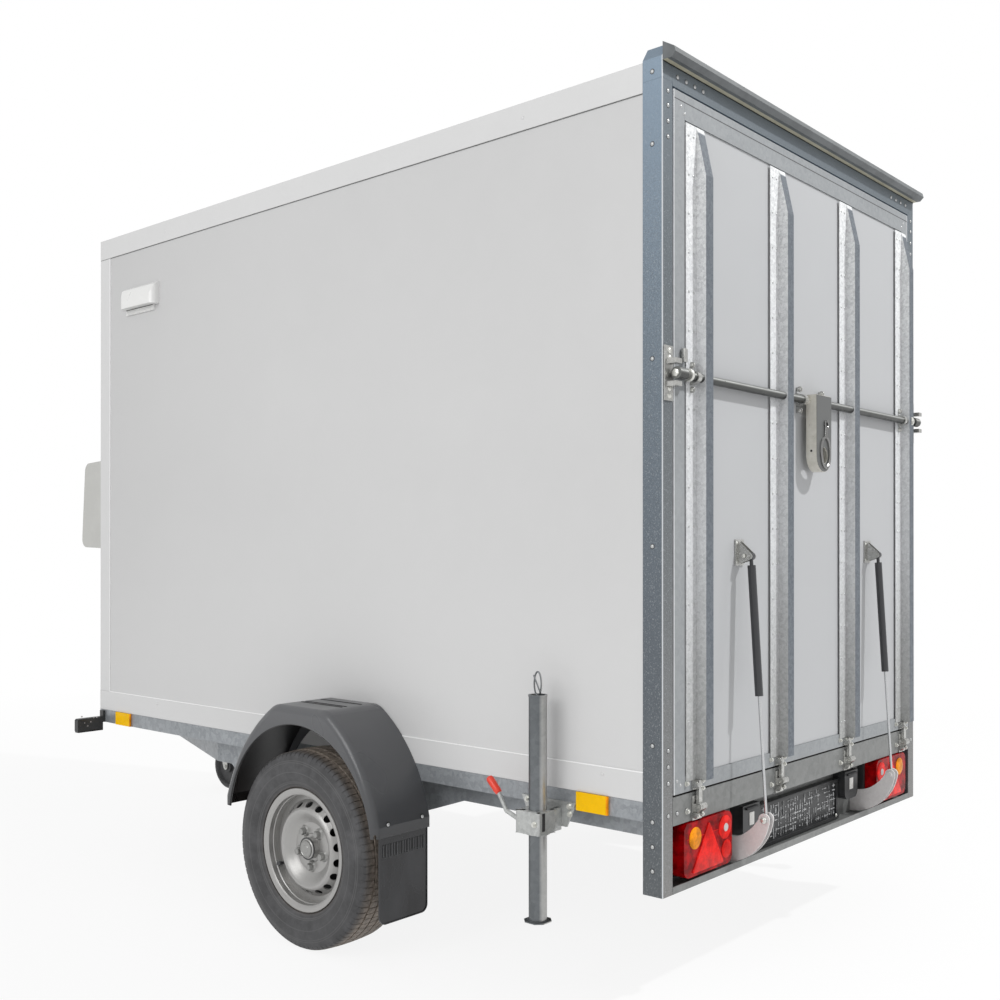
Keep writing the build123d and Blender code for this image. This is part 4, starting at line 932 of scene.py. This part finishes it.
def steel_wheel(side, sign):
    """Rim, hub and a domed disc whose steep edge has a ring of vents cut square to it."""
    axis = Vector((sign, 0.0, 0.0))
    place = Vector((sign * hub.x, hub.y, hub.z))

    def turned(shape, section):
        return shape.turned([(across / 1000, radius / 1000) for across, radius in section], place, axis, 140)

    cutters = Shape()
    for turn in turns_round(vent_count):
        out = Vector((0.0, math.sin(turn), math.cos(turn)))
        lean = (axis * vent_lean[0] + out * vent_lean[1]) * vent_cut
        middle = place + axis * vent_middle[0] + out * vent_middle[1]
        cutters.bar(middle - lean, middle + lean, vent_radius, 28)
    wheel = turned(Shape(), disc_section).less(cutters)
    turned(wheel, rim_section)
    turned(wheel, hub_section)
    made = wheel.piece(f"steel_wheel_{side}", wheel_silver, f"wheel_{side}", smooth=24.0)
    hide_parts(f"wheel_{side}")


def wheel_fittings(side, sign):
    """Bolts, hub cap with a painted shadow ring round it, valve and brake drum, which turn with the wheel; the
    drum is black as painted shade inside the wheel.
    """
    axis = (sign, 0.0, 0.0)
    body = f"wheel_{side}"

    def at(out, along=0.0, up=0.0):
        return (sign * (hub.x + out), hub.y + along, hub.z + up)

    def ring(name, finish, profile, out, sides, smooth=35.0):
        Shape().turned(profile, at(out), axis, sides).piece(f"{name}_{side}", finish, body, smooth=smooth)

    heads = Shape()
    for turn in turns_round(bolt_count):
        along, up = bolt_circle * math.sin(turn), -bolt_circle * math.cos(turn)
        heads.turned(bolt_seat, at(disc_face, along, up), axis, 28)
        heads.turned(bolt_head, at(disc_face + 0.0018, along, up), axis, 6)
    heads.piece(f"wheel_bolts_{side}", hub_silver, body, smooth=28.0)
    ring("hub_cap", hub_silver, cap_profile, cap_seat, 40, 28.0)
    # Painted shadow: a dark ring round the hub cap.
    ring("hub_cap_shadow", plate_black, tube(0.0262, 0.0335, 0.002), ring_seat, 40)
    valve = Shape()
    for *points, radius in valve_rods:
        valve.bar(at(*points[:3]), at(*points[3:]), radius, 14)
    valve.piece(f"valve_{side}", strut_black, body)
    # The brake drum is black, as painted shade inside the wheel.
    ring("brake_drum_shade", seal_black, tube(0.070, 0.146, 0.004), drum_seat, 64)


for side, sign in (("left", 1), ("right", -1)):
    tyre(side, sign)
    steel_wheel(side, sign)
    wheel_fittings(side, sign)


# Rear lamps: coloured fields on the rear face of each lamp's case
lamp_face = lamp_high.y
lamp_wide = 0.240
lamp_outer = lamp_high.x
lamp_inner = lamp_outer - lamp_wide
lamp_middle = (lamp_low.z + lamp_high.z) / 2


def lamp_field(name, finish, *rounds):
    """Round lenses as (profile, inset from the outer edge, height, lift off the face, sides)."""
    field = Shape()
    for profile, inset, level, lift, sides in rounds:
        field.turned(profile, (lamp_outer - inset, lamp_face + lift, level), to_rear, sides)
    field.mirrored().piece(name, finish)


def lens_profile(radius):
    """A round lens whose rim falls away."""
    face = 0.0042
    return [(0, 0), (0, radius), (0.002, radius), (0.0035, radius * 0.85), (face, radius * 0.4), (face, 0)]


side_margin, rim_margin, case_corner = 0.004, 0.003, 0.024
case = oblong((lamp_inner - side_margin, lamp_outer + side_margin),
              (lamp_low.z - rim_margin, lamp_high.z + rim_margin), case_corner)
cases = Shape().prism(case, "xz", (bay_low.y + 0.0036, lamp_face - 0.040)).mirrored()
cases.piece("lamp_cases", plate_black, bevel=0.002)
triangle = rounded([(lamp_outer - 0.036, lamp_low.z + 0.008), (lamp_outer - 0.190, lamp_low.z + 0.008),
                    (lamp_outer - 0.118, lamp_high.z - 0.010)], 0.004, 3)
triangles = Shape().prism(triangle, "xz", beside(lamp_face, -0.002, 0.0022)).mirrored()
triangles.piece("lamp_triangles", lens_bright, bevel=0.0008)
amber_profile = ((0, 0), (0, 0.028), (0.002, 0.028), (0.004, 0.024), (0.005, 0.012), (0.0052, 0))
clear_profile = ((0, 0), (0, 0.011), (0.0012, 0.010), (0.0016, 0))
sunk, raised = -0.001, 0.003
round_inset, round_z = 0.198, lamp_high.z - 0.040
lamp_field("lamp_ambers", lens_amber, (amber_profile, 0.052, lamp_high.z - 0.042, sunk, 40))
lamp_field("lamp_rounds", lens_bright, (lens_profile(0.031), round_inset, round_z, sunk, 36),
           (lens_profile(0.024), 0.205, lamp_low.z + 0.040, sunk, 36))
lamp_field("lamp_clears", lens_clear, (clear_profile, round_inset, round_z, raised, 28))
blocks("lamp_seams", lens_bright,
       ((lamp_inner + 0.012, lamp_outer - 0.012), beside(lamp_face, -0.006, 0.0006),
        beside(lamp_middle, 0.028, 0.0295)))


# Plate holder: a raised lattice in the sunk field, lips and two screws, and its lamps' windows and hoods
field_depth = 0.006
side_edge, long_edge = 0.022, 0.020
lattice_columns, lattice_rows = 34, 7
lattice = facing(to_rear, [
    (across, plate_high.y - field_depth, up)
    for across in evenly(plate_low.x + side_edge, plate_high.x - side_edge, lattice_columns)
    for up in evenly(plate_low.z + long_edge, plate_high.z - long_edge, lattice_rows)])
scatter = random.Random(7)
stroke_share, post_share = 0.42, 0.50
strokes = [spot for spot in lattice if scatter.random() < stroke_share]
posts = [spot for spot in lattice if scatter.random() < post_share]
relief.run("plate_lattice", strokes, lattice_highlight_grey, Long=0.017, Wide=0.0030, Height=0.0052, Seed=7)
relief.run("plate_lattice_posts", posts, lattice_highlight_grey, Long=0.0034, Wide=0.017, Height=0.0055, Seed=11)
plate_wide = (plate_low.x, plate_high.x)
lip_deep = beside(plate_high.y, -0.001, 0.0035)
lip_tall = 0.010
blocks("plate_lips", plate_black, (plate_wide, lip_deep, (plate_high.z - lip_tall, plate_high.z)),
       (plate_wide, lip_deep, (plate_low.z, plate_low.z + lip_tall)), bevel=0.0012, paired=False)
screw_x = 0.249
plate_screws = both(facing(to_rear, [(screw_x, plate_high.y + 0.003, plate_low.z + 0.012)]))
rivets.run("plate_screws", plate_screws, bolt_zinc, Radius=0.006, Height=0.003)
light_low, light_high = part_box("plate_lamps")
blocks("plate_lamp_windows", lamp_glass,
       (beside(light_high.x, -0.060, -0.034), beside(light_high.y, -0.001, 0.0015),
        (light_low.z + 0.030, light_high.z - 0.022)), bevel=0.0006)
blocks("plate_lamp_hoods", seal_black,
       (beside(light_high.x, -0.078, -0.014), beside(light_high.y, -0.004, 0.006),
        beside(light_high.z, -0.012, -0.006)), bevel=0.001)


# Rivets and bolts in rows, at heights and places that follow the photograph
rivet_x = post_inner + 0.021
rivet_y = rear_y - 0.030
sill_rivet_z = 0.532
rail_rivet_z = post_high.z - 0.023
side_heights = (2.369, 2.190, 1.660, 1.197, 0.705, 0.517, 0.456, 0.396)
rear_heights = (2.321, 2.285, 2.246, 2.208, 0.693, 0.653, 0.612, 0.532)
portal_rivets = both(
    facing(to_left, [(side_x, rivet_y, z) for z in side_heights])
    + facing(to_rear, [(rivet_x, rear_y, z) for z in rear_heights])
    + facing(to_rear, [(across, rear_y, sill_rivet_z) for across in (0.715, 0.673)])
    + facing(to_rear, [(across, rear_y, rail_rivet_z) for across in evenly(0.712, 0.592, 4)]))
rivets.run("portal_rivets", portal_rivets, rivet_grey, Radius=0.0054, Height=0.0032)
# Painted shadow: a thin dark ring round each rivet.
rivets.run("portal_rivet_shadows", portal_rivets, seal_black, Radius=0.0068, Height=0.0006)

rib_half = 0.025
rib_insets = (0.103, 0.539, 0.977, 1.403)
rib_middles = [side_x - inset - rib_half for inset in rib_insets]
rivet_rows = 17
bar_clear = 0.03
rib_rivets = facing(to_rear, [(middle + across, rear_y + 0.0025, z) for middle in rib_middles
                              for z in evenly(rib_low.z + 0.05, rib_high.z - 0.03, rivet_rows)
                              if abs(z - bar_z) > bar_clear for across in (0.013, -0.010)])
rivets.run("rib_rivets", rib_rivets, rivet_grey, "ramp", Radius=0.0038, Height=0.0018)

corners = ((0.695, 2.300), (0.680, 2.285), (0.700, 0.600), (0.715, 0.612))
corner_screws = both(facing(to_rear, [(across, rear_y, z) for across, z in corners]))
rivets.run("ramp_corner_screws", corner_screws, rivet_grey, "ramp", Radius=0.0045, Height=0.002)

trim_z, rail_z = 0.6165, wall_high.z + 0.035
side_places = ((rear_y - 0.184, trim_z), (front_y + 0.4, trim_z), (rear_y - 0.45, rail_z),
               (front_y + 0.45, rail_z))
side_screws = both(facing(to_left, [(side_x, y, z) for y, z in side_places]))
rivets.run("side_screws", side_screws, profile_white, Radius=0.0052, Height=0.0022)

# Hinges: the fins of the straps, and their bolts as (name, body, radius, height, places beside a strap)
hinge_middles = [middle - rib_half for middle in rib_middles]
pivot_drop = 0.036
pivot_z = sill_high.z - pivot_drop
fin_side = 0.0185
fin_thick = 0.003
upper_fin = ((0.0052, pivot_z + 0.046), (0.0052, rib_low.z - 0.002), (0.017, rib_low.z - 0.002),
             (0.024, pivot_z + 0.052))
lower_fin = ((0.0032, sill_low.z + 0.006), (0.0032, pivot_z - 0.014), (0.022, pivot_z - 0.016),
             (0.014, sill_low.z + 0.006))
for name, body, fin in (("hinge_fins", "ramp", upper_fin), ("hinge_tabs", "chassis", lower_fin)):
    outline = rounded([(rear_y + out, z) for out, z in fin], 0.002, 3)
    fins = Shape()
    for middle in hinge_middles:
        edge = middle + fin_side
        fins.prism(outline, "yz", (edge, edge + fin_thick))
    fins.piece(name, bright_zinc, body, bevel=0.0005)
for name, body, radius, height, offsets in (
    ("hinge_bolts_upper", "ramp", 0.0082, 0.013, ((-0.012, 0.005, 0.044), (-0.012, 0.005, 0.063))),
    ("hinge_bolts_lower", "chassis", 0.0082, 0.013, ((-0.012, 0.003, -0.022), (0.010, 0.003, -0.024))),
    ("flange_bolts", "ramp", 0.0075, 0.009, ((0.047, 0.0, 0.062),)),
    ("sill_bolts", "chassis", 0.0075, 0.009, ((0.045, 0.0, -0.008),)),
):
    heads = facing(to_rear, [(middle + across, rear_y + out, pivot_z + up)
                             for middle in hinge_middles for across, out, up in offsets])
    bolts.run(name, heads, bolt_zinc, body, Radius=radius, Height=height)

# Lock bar: eyelets of the bearings, cam ends, latch blocks, keeper bolts and the hook on the handle
eyelets = Shape()
eyelet_bolts = []
eyelet_y = rear_y + 0.006
eyelet_rise = 0.031
middle_bearing, outer_bearing = 0.070, side_x - 0.128
for across in (middle_bearing, -middle_bearing, outer_bearing, -outer_bearing):
    for level in (bar_z + eyelet_rise, bar_z - eyelet_rise):
        eyelets.turned(tube(0.0035, 0.0085, 0.005), (across, eyelet_y, level), to_left, 18)
        eyelets.box(beside(across, -0.001, 0.006), beside(rear_y, -0.003, 0.006),
                    beside(level, -0.006, 0.006))
        eyelet_bolts.append(((across + 0.004, eyelet_y, level), to_left))
eyelets.piece("bearing_eyelets", bright_zinc, "ramp", bevel=0.0006)
rivets.run("eyelet_bolts", eyelet_bolts, bolt_zinc, "ramp", Radius=0.005, Height=0.0035)

cams = Shape()
for start, length, radius, sides in ((post_inner + 0.018, 0.003, 0.0105, 6), (0.690, 0.010, 0.0165, 28)):
    cams.turned(tube(0, radius, length), (start, bar_y + 0.006, bar_z), to_left, sides)
cams.mirrored().piece("cam_ends", bolt_zinc, "ramp", bevel=0.0008)
latch = ((0.683, 0.700), beside(rear_y, 0.002, 0.012), beside(bar_z, 0.034, 0.068))
blocks("latch_blocks", bright_zinc, latch, body="ramp", bevel=0.0015)
keeper_bolts = both(facing(to_rear, [(rivet_x, rear_y + 0.004, bar_z + up)
                                     for up in (0.056, 0.038, -0.038, -0.056)]))
rivets.run("keeper_bolts", keeper_bolts, bolt_zinc, Radius=0.0075, Height=0.0045)

handle_stand = 0.046
handle_face = rear_y + handle_stand
handle_half = 0.048
handle_turn = bar_low.z + handle_half
handle_rise = bar_z + 0.016 - handle_turn
eye_radius = 0.0245
hook_x, hook_z = -0.006, handle_turn + 0.010
swivel_x = hook_x - 0.006
hook = Shape()
# A long loop that opens, its shank, the swivel's ring and the swivel's pin
hook.loop((hook_x, handle_face + 0.002, hook_z), 0.027, 0.04455, 0.0046)
hook.bar((hook_x, handle_face + 0.002, hook_z + 0.042), (hook_x - 0.004, handle_face + 0.003, hook_z + 0.074),
         0.0060, 14)
hook.loop((swivel_x, handle_face + 0.003, hook_z + 0.082), 0.0095, 0.0095, 0.0028)
hook.bar((swivel_x, handle_face - 0.006, hook_z + 0.091), (swivel_x, handle_face + 0.007, hook_z + 0.091),
         0.0045, 12)
hook.piece("spring_hook", hook_steel, "ramp")


def handle_skin():
    """The grey front of the handle, round at its foot, with the open eye for the hook."""
    corner = math.degrees(math.atan2(handle_rise, handle_half))
    turns = evenly(-180.0, 0.0, 25)[:-1] + evenly(0.0, corner, 6)[:-1]
    turns += evenly(corner, 180.0 - corner, 5)[:-1] + evenly(180.0 - corner, 180.0, 6)[:-1]
    outer, inner = [], []
    for turn in map(math.radians, turns):
        x, z = math.cos(turn), math.sin(turn)
        reach = handle_half
        if z > 0:
            reach = min(handle_half / max(abs(x), 1e-6), handle_rise / z)
        outer.append((x * (reach - 0.001), handle_turn + z * (reach - 0.001)))
        inner.append((x * eye_radius, handle_turn + z * eye_radius))
    skin = Shape().collar(outer, inner, "xz", beside(handle_face, -0.0006, 0.0006))
    skin.piece("handle_skin", handle_grey, "ramp")


handle_skin()
handle_rivet = facing(to_left, [(0.048, rear_y + 0.030, bar_low.z + 0.060)])
buttons.run("handle_rivet", handle_rivet, seal_black, "ramp", Radius=0.0035, Height=0.001)

# Struts: rivets of the brackets, and the heads of the pins at both ends
cylinder_low, cylinder_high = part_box("strut_cylinder_left")
rod_low, rod_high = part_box("strut_rod_left")
strut_x = (cylinder_low.x + cylinder_high.x) / 2
eye_inset = 0.009
strut_top = cylinder_high.z - eye_inset
rivet_side, rivets_above, rivets_below = 0.015, 0.034, -0.016
bracket_rivets = both(facing(to_rear, [(strut_x + across, rear_y, strut_top + up)
                                       for up in (rivets_above, rivets_below)
                                       for across in (rivet_side, -rivet_side)]))
rivets.run("bracket_rivets", bracket_rivets, bolt_zinc, "ramp", Radius=0.0042, Height=0.0025)
pin_side, pin_stand = 0.0145, 0.019
strut_pins = both(facing(to_left, [(strut_x + pin_side, rear_y + pin_stand, strut_top)]))
rivets.run("strut_pins", strut_pins, bolt_zinc, "ramp", Radius=0.0062, Height=0.0045)
arm_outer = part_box("strut_arms")[1].x
arm_bolts = both(facing(to_left, [(arm_outer - 0.0002, rod_high.y - eye_inset, rod_low.z + eye_inset)]))
rivets.run("arm_bolts", arm_bolts, bolt_zinc, Radius=0.0088, Height=0.0045)

# Fenders: ribs pressed into the flat top, a bead round the arch and screws at the foot
ribs = Shape()
rib_places = (side_x + 0.045, side_x + 0.105, side_x + 0.122)
for across in rib_places:
    outline = oblong(beside(across, -0.003, 0.003), beside(hub.y, -0.085, 0.105), 0.0028, 4)
    ribs.prism(outline, "xy", beside(fender_high.z, -0.003, 0.0012))
ribs.mirrored().piece("fender_ribs", seal_black, bevel=0.0006)
arch_low = fender_low.z - 0.0005
arch_front, arch_rear, arch_rise = hub.y - 0.325, hub.y + 0.330, 0.376
arch = arc((arch_front, arch_low), (hub.y + 0.006, hub.z + arch_rise), (arch_rear, arch_low), 56)
bead_x, bead_radius = fender_high.x - 0.0034, 0.0032
bead = Shape().sweep([(bead_x, y, z) for y, z in arch], bead_radius, 8)
bead.mirrored().piece("fender_beads", fender_black)
fender_screws = both(facing(to_rear, [(across, fender_high.y, fender_low.z + 0.035)
                                      for across in (fender_high.x - 0.050, side_x + 0.030)]))
rivets.run("fender_screws", fender_screws, rivet_grey, Radius=0.0056, Height=0.0035)
rivets.run("fender_screw_seats", fender_screws, seal_black, Radius=0.0080, Height=0.0010)

# Mudflaps: a row of pressed louvres with painted shade in their slots, and a raised rim
louvre_low = 0.334
louvre_top = louvre_low + 0.030
louvre_half = 0.0058
louvre_wire = 0.0021
louvre_count = 8
louvres, slot_shades = Shape(), Shape()
for across in evenly(side_x + 0.026, flap_high.x - 0.020, louvre_count):
    left, right = beside(across, -louvre_half, louvre_half)
    bend = arc((left, louvre_low), (across, louvre_low - louvre_half), (right, louvre_low), 8)
    path = [(left, louvre_top)] + bend + [(right, louvre_top)]
    louvres.sweep([(x, flap_high.y + 0.0004, z) for x, z in path], louvre_wire, 10)
    # Painted shade: a dark block inside each louvre stands for its slot.
    slot_shades.box(beside(across, -0.004, 0.004), beside(flap_high.y, -0.0005, 0.0008), (louvre_low, louvre_top))
louvres.mirrored().piece("flap_louvres", fender_black)
slot_shades.mirrored().piece("flap_slot_shade", seal_black)
flap_outer, flap_inner = [
    oblong((side_x + 0.006 + inset, flap_high.x - inset), (flap_low.z + inset, flap_high.z - inset), radius)
    for inset, radius in ((0.0, 0.022), (0.003, 0.0195))]
rims = Shape().collar(flap_outer, flap_inner, "xz", beside(flap_high.y, -0.0005, 0.0022))
rims.mirrored().piece("flap_rims", flap_black)

# End caps of the side reflectors, glints and rims of the marker lamps
blocks("reflector_ends", lens_amber, *[
    (beside(side_x, 0.001, 0.0075), beside(middle, 0.0455, 0.0505), (rail_low.z, rail_high.z))
    for middle in (rear_y - 0.213, front_y + 0.174)], bevel=0.0008)
scatter = random.Random(23)
glints = []
glint_count = 7
for across in evenly(marker_high.x - 0.016, side_x + 0.024, glint_count):
    reach, rise = scatter.uniform(0.0012, 0.0035), scatter.uniform(0.0012, 0.0030)
    level = marker_low.z + scatter.uniform(0.012, marker_high.z - marker_low.z - 0.008)
    glints.append((beside(across, -reach, reach), beside(marker_high.y, -0.0005, 0.0008),
                   beside(level, -rise, rise)))
blocks("marker_glints", lens_clear, *glints, bevel=0.0003)
blocks("marker_rims", seal_black,
       ((side_x + 0.012, marker_high.x - 0.002), (marker_low.y - 0.001, marker_high.y + 0.001),
        beside(marker_low.z, -0.0005, 0.006)), bevel=0.001)

# Louvres and shade of the vent, the flange of the cabinet and its feet, and the gutter's rubber lip
blocks("vent_louvres", vent_white, *[
    (beside(vent_low.x, 0.004, 0.0085), (vent_low.y + 0.012, vent_high.y - 0.034), (level, level + 0.0022))
    for level in evenly(vent_low.z + 0.003, vent_low.z + 0.015, 3)], bevel=0.0004, paired=False)
blocks("vent_shade", seal_black,
       (beside(vent_low.x, 0.0005, 0.0075), (vent_low.y + 0.010, vent_high.y - 0.030),
        beside(vent_low.z, 0.0185, 0.0205)), paired=False)
blocks("cabinet_flange", gutter_grey,
       ((cabinet_low.x - 0.0015, cabinet_high.x + 0.0015), beside(front_y, -0.004, -0.0005),
        (cabinet_low.z - 0.0015, cabinet_high.z - 0.004)), bevel=0.001, paired=False)
cabinet_feet = facing(downward, [(cabinet_high.x - across, front_y - 0.030, cabinet_low.z + 0.001)
                                 for across in (0.020, 0.070)])
bolts.run("cabinet_feet", cabinet_feet, bolt_zinc, Radius=0.007, Height=0.020)
blocks("gutter_lip", seal_black,
       ((-side_x + 0.002, side_x - 0.002), beside(rear_y, 0.0, 0.002), beside(post_high.z, -0.002, 0.0002)),
       bevel=0.0004, paired=False)

# Joints of the body: a bead, painted white as a highlight, where each side panel meets its front profile and
# its bottom trim, and a painted shadow line under the roof rail
profile_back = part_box("corner_profiles")[1].y
trim_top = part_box("bottom_trims")[1].z
roof_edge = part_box("roof_rails")[0].z
bead_half = 0.0014
bead_wide = (wall_high.x - 0.001, side_x + 0.0009)
blocks("joint_beads", bead_highlight_white,
       (bead_wide, beside(profile_back, -bead_half, bead_half), (trim_top, roof_edge)),
       (bead_wide, (profile_back, post_front), beside(trim_top, -bead_half, bead_half)))
# Painted shadow: a dark line along each side wall under the roof rail.
blocks("roof_joint_shadows", handle_grey,
       ((wall_high.x - 0.001, side_x + 0.0004), (front_y, post_front), beside(roof_edge, -0.0012, 0.0002)))

# Prop stands: cast clamp with its gussets and painted shade in its slit, bracket bolts and red grip
clamp_low = grip_low.z
clamp_tall = 0.062
clamp_high = clamp_low + clamp_tall
clamp_corner, clamp_bore = 0.006, 0.0262
outer = oblong(beside(prop.x, -0.034, 0.035), beside(prop.y, -0.048, 0.032), clamp_corner, 7)
hole = oval((prop.x, prop.y), clamp_bore, clamp_bore, len(outer))
clamp = Shape().collar(outer, hole, "xy", (clamp_low + 0.002, clamp_high - 0.001))
clamp.mirrored().piece("prop_clamp_blocks", clamp_zinc, bevel=0.0012)
bracket_x = side_x + 0.006
gusset_thick = 0.006
blocks("prop_gussets", clamp_zinc, *[
    ((bracket_x, prop.x - 0.030), beside(prop.y, front, front + gusset_thick), (clamp_low + 0.004, clamp_high))
    for front in (-0.040, 0.026)], bevel=0.001)
# Painted shade: a black block stands in the clamp's slit.
blocks("prop_clamp_slit_shade", seal_black,
       (beside(prop.x, 0.010, 0.021), beside(prop.y, 0.0310, 0.0328),
        (clamp_low + 0.012, clamp_high - 0.004)))
bracket_bolts = ((0.060, 0.500), (-0.070, 0.500), (0.058, 0.520), (-0.085, 0.520))
prop_bolts = both(facing(to_left, [(prop.x + 0.035, prop.y + 0.018, (clamp_low + clamp_high) / 2)]
                         + [(bracket_x, prop.y + along, level) for along, level in bracket_bolts]))
bolts.run("prop_bolts", prop_bolts, bolt_zinc, Radius=0.008, Height=0.009)
grip_root = Vector((prop.x + 0.018, prop.y - 0.120, 0.545))
grip_run = Vector((0.0, -0.032, 0.033))
grip_long = grip_run.length
grips = Shape().turned([(-0.002, 0), (-0.002, 0.0070), (0.0, 0.0092), (0.006, 0.0102),
                        (grip_long - 0.002, 0.0104), (grip_long + 0.003, 0.0085),
                        (grip_long + 0.0055, 0.004), (grip_long + 0.006, 0)], grip_root, grip_run, 24)
grips.mirrored().piece("prop_grips", grip_red)

foot_half = 0.033
foot_corners = ((1, 0.5), (0.5, 1), (-0.5, 1), (-1, 0.5), (-1, -0.5), (-0.5, -1), (0.5, -1), (1, -0.5))
tube_radius = 0.0240
bore_radius = 0.0200
bore_depth = 0.024
tube_foot = leg_low.z + 0.006
tube_top = leg_high.z - 0.062
loop_z = leg_high.z - 0.0335
pin_z = tube_top - 0.0075


def prop_leg(side, x, y):
    """A round leg with an eight-sided foot, its pad, and a loop of wire through the crown."""
    body = f"prop_leg_{side}"
    length = tube_top - tube_foot
    leg = Shape()
    floor = length - bore_depth
    leg.turned([(0, 0), (0, tube_radius), (length, tube_radius), (length, bore_radius),
                (floor, bore_radius), (floor, 0)], (x, y, tube_foot), upward, 48)
    foot = [(x + foot_half * across, y + foot_half * along) for across, along in foot_corners]
    leg.prism(foot, "xy", (leg_low.z + 0.0032, tube_foot))
    leg.turned([(0, 0.0238), (0, 0.0280), (0.0008, 0.0268), (0.0020, 0.0246), (0.0020, 0.0238)],
               (x, y, leg_low.z + 0.0058), upward, 32)
    leg.turned(tube(0.0195, 0.0252, 0.0045), (x, y, tube_top - 0.004), upward, 48)
    leg.loop((x, y, loop_z), 0.0118, 0.0310, 0.0023, "yz", 36, 10)
    leg.sweep([(x + 0.004, y - 0.0105, loop_z + 0.022), (x + 0.004, y + 0.0105, loop_z - 0.020)], 0.0021, 10)
    leg.bar((x, y - bore_radius, pin_z), (x, y + bore_radius, pin_z), 0.0028, 12)
    made = leg.piece(f"prop_tube_{side}", prop_zinc, body, smooth=30.0)
    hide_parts(f"prop_leg_{side}")
    pad = Shape().turned([(0, 0), (0, 0.0180), (0.0033, 0.0235), (0.0033, 0)], (x, y, leg_low.z), upward, 32)
    pad.piece(f"prop_pad_{side}", pad_beige, body)


prop_leg("left", prop.x, prop.y)
prop_leg("right", -prop.x, prop.y)


def studio():
    """A pale floor that fades to white, a soft key from behind and above, and even light all round."""
    mesh = bpy.data.meshes.new("studio_floor")
    reach = 30.0
    fade_start, fade_end = 2.5, 6.0
    corners = ((-reach, -reach), (reach, -reach), (reach, reach), (-reach, reach))
    mesh.from_pydata([(x, y, 0.0) for x, y in corners], [], [(0, 1, 2, 3)])
    ground = bpy.data.objects.new("studio_floor", mesh)
    bpy.context.scene.collection.objects.link(ground)
    sheet = Finish("studio_floor")
    seen = sheet.node("ShaderNodeLightPath", output="Is Camera Ray")
    mirrored = sheet.node("ShaderNodeLightPath", output="Is Glossy Ray")
    away = sheet.node("ShaderNodeVectorMath", {"operation": "LENGTH"}, (sheet.place,), output="Value")
    fade = away.between(fade_start, fade_end, 0.88, 1.0)
    lit = sheet.node("ShaderNodeBsdfDiffuse", {}, ((0.80, 0.80, 0.80, 1.0),))
    plain = sheet.node("ShaderNodeEmission", {}, ((1.0, 1.0, 1.0, 1.0), 1.0))
    sheet.node_out(sheet.node("ShaderNodeMixShader", {}, (seen.most(mirrored) * fade, lit, plain)))
    mesh.materials.append(sheet.material)

    world = bpy.data.worlds.new("studio")
    bpy.context.scene.world = world
    world.use_nodes = True
    nodes = world.node_tree.nodes
    nodes.clear()
    out = nodes.new("ShaderNodeOutputWorld")
    glow = nodes.new("ShaderNodeBackground")
    white = nodes.new("ShaderNodeBackground")
    path = nodes.new("ShaderNodeLightPath")
    mixer = nodes.new("ShaderNodeMixShader")
    glow.inputs["Color"].default_value = (1.0, 1.0, 1.0, 1.0)
    glow.inputs["Strength"].default_value = 0.70
    white.inputs["Color"].default_value = (1.0, 1.0, 1.0, 1.0)
    white.inputs["Strength"].default_value = 1.0
    link = world.node_tree.links.new
    link(path.outputs["Is Camera Ray"], mixer.inputs["Fac"])
    link(glow.outputs["Background"], mixer.inputs[1])
    link(white.outputs["Background"], mixer.inputs[2])
    link(mixer.outputs["Shader"], out.inputs["Surface"])

    # Each lamp as (name, place, size, power), aimed at the middle of the body
    lamps = (("key", (-3.4, 7.6, 8.8), 0.30, 800.0), ("side", (7.0, 1.0, 4.5), 4.0, 190.0))
    for name, place, size, power in lamps:
        light = bpy.data.lights.new(name, "AREA")
        light.size = size
        light.energy = power
        lamp = bpy.data.objects.new(name, light)
        lamp.location = place
        lamp.rotation_euler = (Vector((0, 0, 1.0)) - Vector(place)).to_track_quat("-Z", "Y").to_euler()
        bpy.context.scene.collection.objects.link(lamp)


def viewpoint():
    lens_data = bpy.data.cameras.new("viewpoint")
    lens_data.lens = camera_lens
    lens_data.sensor_width = camera_film
    lens_data.shift_x, lens_data.shift_y = camera_shift
    camera = bpy.data.objects.new("viewpoint", lens_data)
    camera.location = camera_place
    flat = math.cos(camera_tilt)
    ahead = Vector((-math.cos(camera_turn) * flat, -math.sin(camera_turn) * flat, math.sin(camera_tilt)))
    camera.rotation_euler = ahead.to_track_quat("-Z", "Y").to_euler()
    bpy.context.scene.collection.objects.link(camera)
    bpy.context.scene.camera = camera


studio()
viewpoint()
bpy.context.scene.view_settings.view_transform = "Standard"
